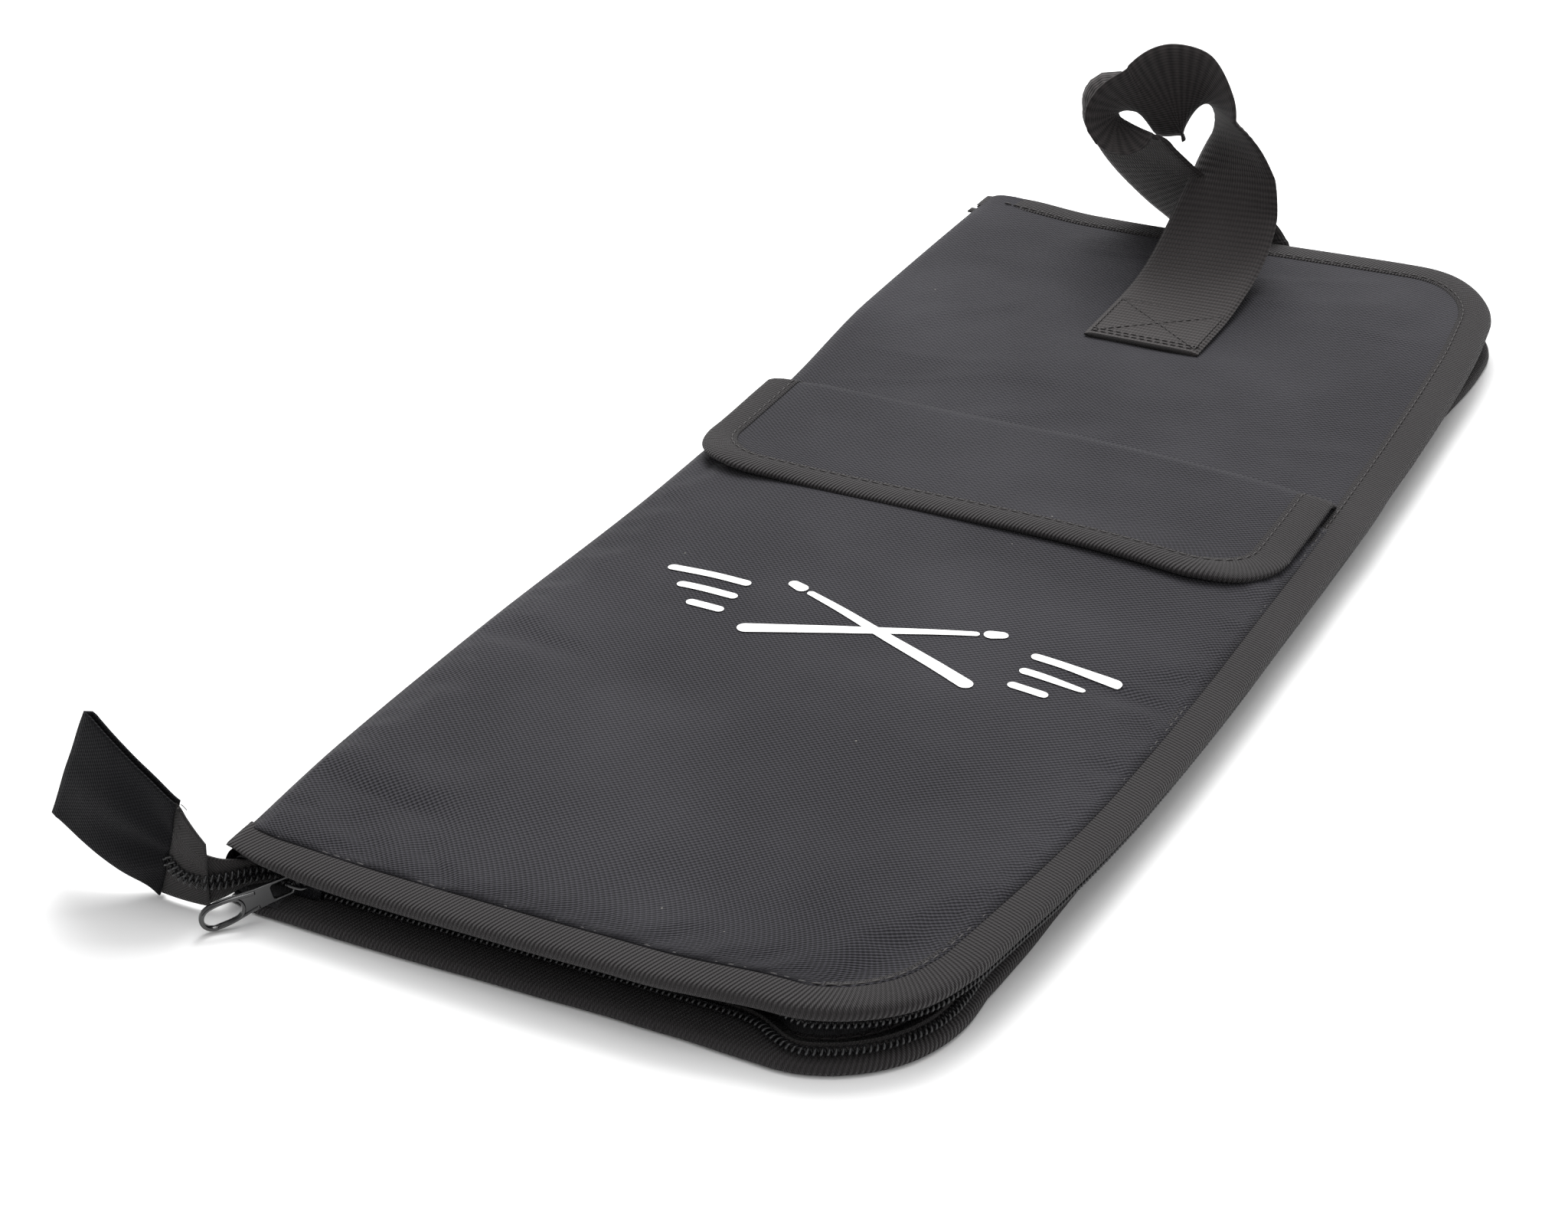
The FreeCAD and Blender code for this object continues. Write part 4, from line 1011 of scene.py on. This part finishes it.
def accessory_pocket():
    y = np.concatenate([
        -HALF_LONG + BINDING - 2 + np.linspace(0, 26, 14), np.linspace(-197, POCKET_MOUTH, 72)
    ])[:, None]
    right = free_edge(y, BINDING - 2.5)
    left = -HALF_WIDE + 1.2
    x = left + (right - left) * np.linspace(0, 1, 62)[None, :]
    z = pocket_top(x, y + 0 * x)
    fall = np.clip((left + 5 - x) / 5, 0, 1)
    z -= 2.2 * fall**2
    flat = np.stack([x, y + 0 * x, z], axis=2)
    bare = grid_mesh("pocket_sim", flat, flip=True)
    edge = np.zeros(flat.shape[:2], bool)
    edge[0], edge[:, 0], edge[:, -1], edge[-1] = True, True, True, True
    simulate(bare, edge.ravel(), 0.8, 0.008, 12, 1.5)
    points = np.array([v.co for v in bare.data.vertices]).reshape(flat.shape) / MM
    bpy.data.objects.remove(bare)
    points[..., 2] = np.maximum(points[..., 2], flat[..., 2] - 0.6)
    global POCKET_SURFACE
    POCKET_SURFACE = settle_front(points)
    piece = cloth("pocket_panel", POCKET_SURFACE, 0.7)
    dress(piece, CANVAS, "front_cover", ("accessory_pocket",))
    hem = POCKET_SURFACE[-5:, 4:-4].copy()
    hem[..., 2] += 0.35
    hem = cloth("pocket_hem_tape", hem, 1.2)
    dress(hem, TAPE, "front_cover", ("pocket_hem",))


def surface_height(x, y):
    """The outside pocket's height at a place, from the nearest point of its mesh."""
    gap = (POCKET_SURFACE[..., 0] - x) ** 2 + (POCKET_SURFACE[..., 1] - y) ** 2
    nearest = np.argsort(gap.ravel())[:4]
    weights = 1 / (gap.ravel()[nearest] + 0.01)
    return float((POCKET_SURFACE[..., 2].ravel()[nearest] * weights).sum() / weights.sum())


# ---------------------------------------------------------------- pocket flap
FLAP_CORNER = 25


def flap_height(x, y):
    """The flap leaves its seam, rides over the pocket and hangs just clear of it."""
    rise = ease(FLAP_FOLD - y, 0, 9)
    left = 1 - ease(x, FLAP_LOW[0], FLAP_LOW[0] + 17)
    right = ease(x, FLAP_HIGH[0] - 20, FLAP_HIGH[0])
    soft = 0.45 * ripple(x, y, 40, 12.0) + 0.15 * ripple(x, y, 16, 1.0)
    lift = 0.7 * ease(-y, -20, -FLAP_LOW[1]) * (1 + 0.8 * np.sin(x / 21))
    level = TOP + 1.0 + 3.6 * rise + soft * rise + lift
    return level - 1.8 * left - 1.6 * right


def flap_edge_x(y, inset):
    """How much the flap's rounded free corners take off its width."""
    radius = FLAP_CORNER - inset
    into = np.clip(FLAP_LOW[1] + FLAP_CORNER - y, 0, radius)
    return radius - np.sqrt(radius**2 - into**2)


def flap():
    low_y = FLAP_LOW[1] + 1.5
    end = FLAP_CORNER - (FLAP_CORNER - 1.5) * np.sin(np.linspace(0, math.pi / 2, 18)[::-1])
    straight = np.linspace(FLAP_LOW[1] + FLAP_CORNER + 1.6, FLAP_FOLD, 30)
    y = np.concatenate([FLAP_LOW[1] + end, straight])
    y = np.maximum(y, low_y)[:, None]
    cut = flap_edge_x(y, 1.5)
    left, right = FLAP_LOW[0] + 1.5 + cut, FLAP_HIGH[0] - 1.5 - cut
    x = left + (right - left) * np.linspace(0, 1, 82)[None, :]
    points = np.stack([x, y + 0 * x, flap_height(x, y + 0 * x)], axis=2)
    points = settle_front(points)
    piece = cloth("flap_canvas", points, 1.1)
    dress(piece, CANVAS, "pocket_flap", ("pocket_flap",))
    path, outward = [], []
    radius, foot = FLAP_CORNER, FLAP_LOW[1] + FLAP_CORNER

    def rounded(middle, first):
        for turn in np.linspace(first, first + 90, 22):
            aim = (math.cos(math.radians(turn)), math.sin(math.radians(turn)))
            path.append((middle + radius * aim[0], foot + radius * aim[1]))
            outward.append(aim)

    for y_down in np.arange(FLAP_FOLD - 1, foot, -1.5):
        path.append((FLAP_LOW[0], y_down))
        outward.append((-1, 0))
    rounded(FLAP_LOW[0] + radius, 180)
    for x_over in np.arange(FLAP_LOW[0] + radius + 1.5, FLAP_HIGH[0] - radius, 1.5):
        path.append((x_over, FLAP_LOW[1]))
        outward.append((0, -1))
    rounded(FLAP_HIGH[0] - radius, 270)
    for y_up in np.arange(foot, FLAP_FOLD - 1, 1.5):
        path.append((FLAP_HIGH[0], y_up))
        outward.append((1, 0))
    path, outward = np.array(path), np.array(outward)
    profile = np.array([
        (10.6, 0.15), (9.9, 0.55), (8.9, 0.4), (7.6, 0.75), (5, 0.95), (2, 0.8), (0.5, 0.3),
        (0, -0.5), (0.5, -1.3), (2, -1.75), (5, -1.8), (9, -1.7), (10.4, -1.4), (10.2, -1.1),
        (2, -1.1), (2, 0), (10.2, 0),
    ])
    spots = path[:, None, :] - outward[:, None, :] * profile[None, :, :1]
    level = flap_height(spots[..., 0], spots[..., 1])
    sections = np.concatenate([spots, (level + profile[None, :, 1])[..., None]], axis=2)
    tape = grid_mesh("flap_edge_tape", settle_front(sections), wrap=True, caps="round", flip=True)
    dress(tape, TAPE, "pocket_flap", ("flap_binding",))
    seam = path - outward * 8.9
    line = np.column_stack([seam, flap_height(seam[:, 0], seam[:, 1]) + 0.45])
    row = stitch_row(settle_front(line), (0, 0, 1))
    sew("flap_stitches", row, "pocket_flap")
    fold_x = np.linspace(FLAP_LOW[0] + 2, FLAP_HIGH[0] - 2, 90)[None, :]
    fold_y = np.array([FLAP_FOLD - 7, FLAP_FOLD - 4, FLAP_FOLD - 1.2])[:, None]
    fold_x, fold_y = fold_x + 0 * fold_y, fold_y + 0 * fold_x
    strip = np.stack([fold_x, fold_y, np.full(fold_x.shape, TOP + 0.8)], axis=2)
    strip[..., 2] += upper_face(strip[..., 0], strip[..., 1])
    strip = cloth("flap_seam_cloth", settle_front(strip), 0.7)
    dress(strip, CANVAS, "front_cover", ("flap_seam_strip",))


def fastener_tapes():
    """The hook-and-loop strips, which lie on each other between flap and pocket."""
    low, high = span("flap_hook_tape")
    x = np.linspace(low[0], high[0], 40)[None, :]
    y = np.linspace(low[1], high[1], 9)[:, None]
    x, y = x + 0 * y, y + 0 * x
    under = np.stack([x, y, flap_height(x, y) - 1.15], axis=2)
    hook = cloth("hook_strip", settle_front(under), 0.5)
    dress(hook, FASTENER, "pocket_flap", ("flap_hook_tape",))
    over = np.stack([x, y, pocket_top(x, y) + 0.75], axis=2)
    loop = cloth("loop_strip", settle_front(over), 0.5)
    dress(loop, FASTENER, "front_cover", ("pocket_loop_tape",))


# ---------------------------------------------------------------- webbing handle
# The webbing's middle and the way its width points. The stations began as a fit to both
# edges of the strap in the photo and were then moved, so this route isn't the frame's.
HANDLE_NODES = (
    "handle_sewn_end", "handle_rise", "handle_crown", "handle_turn", "handle_fall",
    "handle_drop", "handle_back_end",
)
HANDLE_ROUTE = (
    ((-2, 130, 17.2), (1, 0, 0)),
    ((-2, 144, 17.3), (1, 0, 0)),
    ((-2, 158, 17.4), (1, 0, 0)),
    ((-2, 174.4, 18.8), (1, 0, 0.04)),
    ((-2, 187.2, 21.3), (1, -0.01, 0.04)),
    ((-2.2, 199.5, 25.9), (0.99, -0.04, 0.04)),
    ((-2.2, 209.3, 33.6), (0.97, -0.15, 0.1)),
    ((-2.3, 215, 44.8), (0.89, -0.44, 0.15)),
    ((-4.2, 217.3, 57.3), (0.65, -0.75, 0.12)),
    ((-8, 217, 65), (0.42, -0.86, 0.22)),
    ((-12, 215.4, 69.4), (0.33, -0.76, 0.52)),
    ((-16.2, 213.8, 71), (0.16, -0.45, 0.88)),
    ((-23.5, 211.2, 71), (0.08, -0.25, 0.96)),
    ((-31.5, 209.2, 67.6), (0.2, -0.5, 0.84)),
    ((-38.8, 208.5, 65.2), (0.4, -0.65, 0.65)),
    ((-42.5, 209.2, 62.2), (0.55, -0.65, 0.5)),
    ((-41.8, 211.3, 57.2), (0.62, -0.62, 0.48)),
    ((-38.2, 216, 50), (0.65, -0.58, 0.48)),
    ((-31.5, 225.2, 37.2), (0.81, -0.44, 0.39)),
    ((-21, 231, 26.5), (0.9, -0.33, 0.25)),
    ((-13.5, 235, 20), (0.97, -0.18, 0.12)),
    ((-9, 238.3, 15.5), (1, -0.06, 0.03)),
    ((-7, 240.4, 9.5), (1, 0, 0)),
    ((-5.5, 240.2, 4), (1, 0, 0)),
    ((-4, 237.5, 1.1), (1, 0, 0)),
    ((-2, 228, 0.75), (1, 0, 0)),
    ((-2, 202, 0.75), (1, 0, 0)),
    ((-2, 176, 0.75), (1, 0, 0)),
)
RIB_PITCH, RIB_HIGH = 2.1, 0.2


def handle():
    route = along([middle for middle, _ in HANDLE_ROUTE], RIB_PITCH / 4)
    keys = np.array([middle for middle, _ in HANDLE_ROUTE], float)
    places = np.concatenate([[0], np.cumsum(np.linalg.norm(np.diff(keys, axis=0), axis=1))])
    share = np.linspace(0, places[-1], len(route))
    widths = np.array([wide for _, wide in HANDLE_ROUTE], float)
    across = np.column_stack([np.interp(share, places, widths[:, n]) for n in range(3)])
    for _ in range(26):
        across[1:-1] = (across[:-2] + 2 * across[1:-1] + across[2:]) / 4
    run = units(np.gradient(route, axis=0))
    side = units(across - run * (across * run).sum(axis=1, keepdims=True))
    face = np.cross(run, side)
    flat = ease(route[:, 2], 0.9, 4)
    crown = ease(route[:, 2], 58, 70)[:, None]
    rib = RIB_HIGH * np.cos(2 * math.pi * share / RIB_PITCH) * (1 - 0.8 * crown[:, 0])
    half_wide = WEB_WIDE / 2 * (1 + 0.06 * crown)
    half_thick = (WEB_THICK / 2 * (0.45 + 0.55 * flat) + rib * 0.5)[:, None]
    lanes = np.linspace(-1, 1, 19)
    edge = np.sqrt(np.clip(1 - np.abs(lanes) ** 14, 0.05, 1))
    wide, thick = side * half_wide, face * half_thick
    upper = [route + wide * a + thick * b for a, b in zip(lanes, edge)]
    under = [route + wide * a - thick * b for a, b in zip(lanes[::-1], edge[::-1])]
    points = np.stack(upper + under, axis=1)
    points[..., 2] = np.maximum(points[..., 2], 0.1)
    piece = grid_mesh("handle_webbing", points, wrap=True, caps="flat")
    dress(piece, WEBBING, replaces=HANDLE_NODES)
    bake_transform(piece)
    rows = []
    top = TOP + 2.75
    for x0, y0, x1, y1 in (
        (-19.2, 132, 15.2, 132), (15.2, 132, 15.2, 160), (15.2, 160, -19.2, 160),
        (-19.2, 160, -19.2, 132), (-19.2, 132, 15.2, 160), (-19.2, 160, 15.2, 132),
        (-20, 134, 16, 134),
    ):
        line = np.linspace((x0, y0, top - 0.05), (x1, y1, top - 0.05), 20)
        rows += stitch_row(line, (0, 0, 1), 2.6, 2.1, 0.28)
    sew("handle_stitches", rows, "front_cover")


# ---------------------------------------------------------------- printed motif
def strip_outline(start, stop, wide_a, wide_b):
    """A tapering bar from one point to another, rounded at both ends."""
    start, stop = np.array(start, float), np.array(stop, float)
    turn = math.degrees(math.atan2(*(stop - start)[::-1]))
    return (
        arc(stop, wide_b, turn - 90, turn + 90, 12) + arc(start, wide_a, turn + 90, turn + 270, 12)
    )


def printed(name, outlines):
    """Ink shapes laid on the outside pocket's cloth."""
    lift = 0.3
    mesh = bmesh.new()
    for outline in outlines:
        face = mesh.faces.new([mesh.verts.new((x, y, 0)) for x, y in outline])
        if face.normal.z < 0:
            face.normal_flip()
    lows = range(-90, 96, 3)
    for axis, spots in (((1, 0, 0), lows), ((0, 1, 0), range(-150, -10, 3))):
        for spot in spots:
            point = Vector(axis) * (spot + 0.37)
            whole = mesh.verts[:] + mesh.edges[:] + mesh.faces[:]
            bmesh.ops.bisect_plane(mesh, geom=whole, plane_co=point, plane_no=axis)
    bmesh.ops.recalc_face_normals(mesh, faces=mesh.faces[:])
    for face in mesh.faces:
        if face.normal.z < 0:
            face.normal_flip()
    for vert in mesh.verts:
        vert.co.z = surface_height(vert.co.x, vert.co.y) + lift
        vert.co *= MM
    data = bpy.data.meshes.new(name)
    mesh.to_mesh(data)
    mesh.free()
    data.shade_smooth()
    return linked(name, data)


def motif():
    """A plain generic print: two crossed sticks between two rows of bars."""
    middle = np.array([2.0, -78.0])
    sticks = []
    for lean in (-1, 1):
        aim = np.array([math.cos(math.radians(24)) * lean, math.sin(math.radians(24))])
        butt, neck = middle - aim * 34, middle + aim * 26
        tip = middle + aim * 33
        sticks.append(strip_outline(butt, neck, 2.3, 1.1))
        sticks.append(strip_outline(neck + aim * 4, tip, 1.9, 1.6))
    dress(printed("print_sticks", sticks), INK, "front_cover")
    bars = []
    for side in (-1, 1):
        for number, y in enumerate((-70, -78, -86)):
            inner = middle[0] + side * 42
            outer = middle[0] + side * (64 - 7 * number)
            bars.append(strip_outline((min(inner, outer), y), (max(inner, outer), y), 1.5, 1.5))
    dress(printed("print_bars", bars), INK, "front_cover")


# ---------------------------------------------------------------- stage
def stage():
    bpy.ops.mesh.primitive_plane_add(size=8, location=(0, 0, 0))
    floor = bpy.context.object
    floor.name = "floor"
    material, tree, core = shader("floor", (0.93, 0.93, 0.93), 0.9, specular=0.1)
    where = tree.nodes.new("ShaderNodeTexCoord").outputs["Object"]
    shade = ramp(tree, noise_node(tree, where, 3, 2), 0.2, 0.8)
    tree.links.new(mixed(tree, shade, (0.92, 0.92, 0.92), (0.95, 0.95, 0.95)), core.inputs[0])
    floor.data.materials.append(material)
    world = bpy.data.worlds.new("studio")
    bpy.context.scene.world = world
    world.use_nodes = True
    back = world.node_tree.nodes["Background"]
    back.inputs["Color"].default_value = (1, 1, 1, 1)
    back.inputs["Strength"].default_value = 0.5
    for name, spot, size, power, aim in (
        ("key", (-0.55, 1.15, 1.6), 1.2, 42, (0, 0, 0)),
        ("fill", (1.3, -0.9, 1.3), 1.0, 4, (0, 0, 0)),
        ("top", (-0.1, 0.3, 1.9), 1.7, 20, (0, 0, 0)),
    ):
        light = bpy.data.lights.new(name, "AREA")
        light.size, light.energy = size, power
        holder = linked(name, light)
        holder.location = spot
        holder.rotation_euler = (Vector(aim) - Vector(spot)).to_track_quat("-Z", "Y").to_euler()


def camera():
    data = bpy.data.cameras.new("camera")
    data.sensor_width = 36
    data.lens = 69.28
    data.clip_start = 0.01
    holder = linked("camera", data)
    holder.location = (0.28398, -0.70327, 0.40420)
    holder.rotation_euler = (math.radians(90 - 28.86), 0, math.radians(26.27))
    bpy.context.scene.camera = holder


bpy.context.scene.view_settings.view_transform = "Standard"
outer_cloth()
inner_cloth()
bindings()
zipper()
closed_end()
slider()
pull()
tail()
stick_pocket()
accessory_pocket()
flap()
fastener_tapes()
handle()
motif()
stage()
camera()
